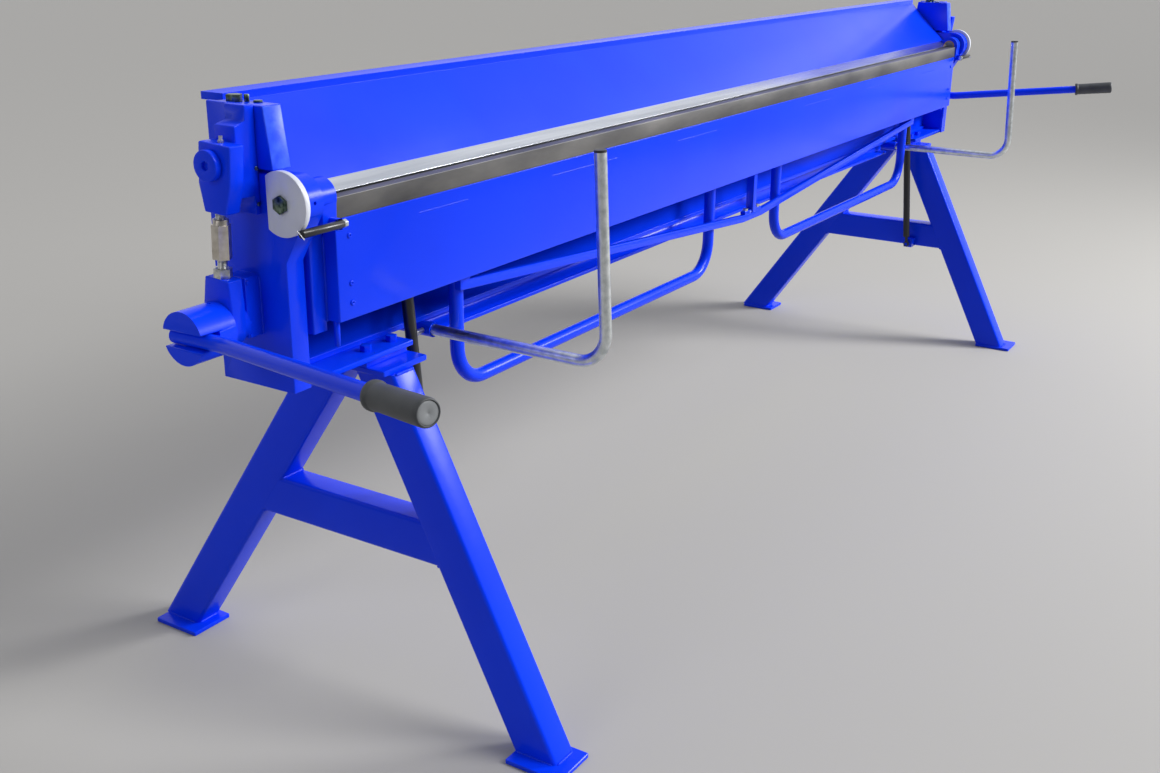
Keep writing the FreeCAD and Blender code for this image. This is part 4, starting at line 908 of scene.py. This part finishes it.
# %% Caps with a wider socket
PIN_DEPTH = 0.94 * MM
PIN_HEIGHT = 1054 * MM
CAP_FROM = 1720 * MM
SOCKET_REACH = 6 * MM
SOCKET_WIDER = 1.6
pins = round_all_edges("link_pins", 1.6, 3)
moved = 0
for vertex in pins.data.vertices:
    x, y, z = vertex.co
    away = math.hypot(y - PIN_DEPTH, z - PIN_HEIGHT)
    if abs(x) > CAP_FROM and away < SOCKET_REACH:
        vertex.co.y = PIN_DEPTH + (y - PIN_DEPTH) * SOCKET_WIDER
        vertex.co.z = PIN_HEIGHT + (z - PIN_HEIGHT) * SOCKET_WIDER
        moved += 1
print("caps: %d socket points moved" % moved)

# %% [markdown]
# ## Screws of the wing
# Three small button heads sit near each end of the wing's face, painted over in blue. A half
# sphere would do for a head at this size, but the socket is what tells it from a rivet. So
# the head is one stack of rings: five for the dome, then three hexagons that go down into the
# socket. A share scales each ring's width, and a reach says how far it stands off the face.

# %% Button heads
HEAD_STEPS = 24
HEAD_RADIUS = 5.0
HEAD_HEIGHT = 2.4
SOCKET_FLATS = 3.4
DOME = ((1.0, 0.0), (0.98, 0.30), (0.88, 0.62), (0.72, 0.86), (0.60, 0.98))
SOCKET = ((1.0, 0.98), (1.0, 0.25), (0.2, 0.15))
ACROSS = Vector((1, 0, 0))
UPWARDS = Vector((0, 0, 1))


def hexagon_radii(flats):
    """The distance of a hexagon's outline from its centre, at each step round it."""
    radii = []
    for step in range(HEAD_STEPS):
        corner = (FULL_TURN * step / HEAD_STEPS) % (math.pi / 3) - math.pi / 6
        radii.append(flats / 2 / math.cos(corner))
    return radii


def button_head(work, place):
    """A domed screw head on a face that looks towards -Y, with a hexagon socket."""
    rings = []
    for share, reach in DOME:
        centre = Vector(place) - Vector((0, HEAD_HEIGHT * reach, 0))
        rings.append(circle(centre, ACROSS, UPWARDS, [HEAD_RADIUS * share] * HEAD_STEPS))
    for share, reach in SOCKET:
        centre = Vector(place) - Vector((0, HEAD_HEIGHT * reach, 0))
        rings.append(circle(centre, ACROSS, UPWARDS, hexagon_radii(share * SOCKET_FLATS)))
    skinned(work, rings)


print("button heads of %.0f mm" % (2 * HEAD_RADIUS))

# %% [markdown]
# ## Screws in their places
# A stop screw hangs under each end of the wing, a plain rod with broken edges, which the lathe
# makes. Both kinds of screw could be pieces of their own, but the CAD holds them as one node
# on one body. So one piece holds them all and stands for that node.

# %% Screws in their places
WING_FACE = -96.6
FACE_SCREW_X = 1541
FACE_SCREW_HEIGHTS = (928, 851, 819)
STOP_SCREW_LOW = (1561, -79.06, 748)
STOP_SCREW_HIGH = (1561, -79.06, 792)
STOP_SCREW_PROFILE = ((0, 3.6), (0.8, 4.9), (43, 5.0), (44, 4))
work = bmesh.new()
for side, sign in SIDES:
    for z in FACE_SCREW_HEIGHTS:
        button_head(work, (sign * FACE_SCREW_X, WING_FACE, z))
    low, high = on_side(sign, STOP_SCREW_LOW), on_side(sign, STOP_SCREW_HIGH)
    lathed(work, low, high, STOP_SCREW_PROFILE, HEAD_STEPS)
screws = piece("wing_button_screws", work, "wing", "blue_paint")
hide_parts("wing_screws")
print(screws.name, "%d faces" % len(screws.data.polygons))

# %% [markdown]
# ## Rubbed faces of the end plates
# Sheets slide past the clamping beam's end plates, and their front faces are rubbed pale. A
# mask in the shader could limit that wear, but here it ends at an edge, so it is enough to
# give those faces a second material.

# %% Rubbed end plates
FACES_FRONT = -0.8
ends = bpy.data.objects["end_plates_rounded"]
ends.data.materials.append(FINISHES["worn_blue"])
rubbed_faces = 0
for face in ends.data.polygons:
    face.material_index = 1 if face.normal.y < FACES_FRONT else 0
    rubbed_faces += face.material_index
print("%d rubbed faces on the end plates" % rubbed_faces)

# %% [markdown]
# ## Stop rods and the last bolts
# The stop rods beside the hinges are black with a bright hexagon tip on the inside, and they
# are one node in the CAD. Splitting the node would give two pieces to look after, so the tip's
# faces take a second material by their distance from the middle. The bolts and clamp screws
# only need their edges rounded.

# %% Stop rods and the last bolts
TIP_INSIDE = 1577.5 * MM
rods = round_all_edges("stop_rods", 0.9)
rods.data.materials.append(FINISHES["galvanised"])
for face in rods.data.polygons:
    face.material_index = 1 if abs(face.center.x) < TIP_INSIDE else 0
BOLTS = {"disc_bolts": 0.9, "slide_bolts": 0.6, "socket_screws": 0.8}
for node, radius in BOLTS.items():
    round_all_edges(node, radius)
print("bolts finished:", ", ".join(BOLTS))
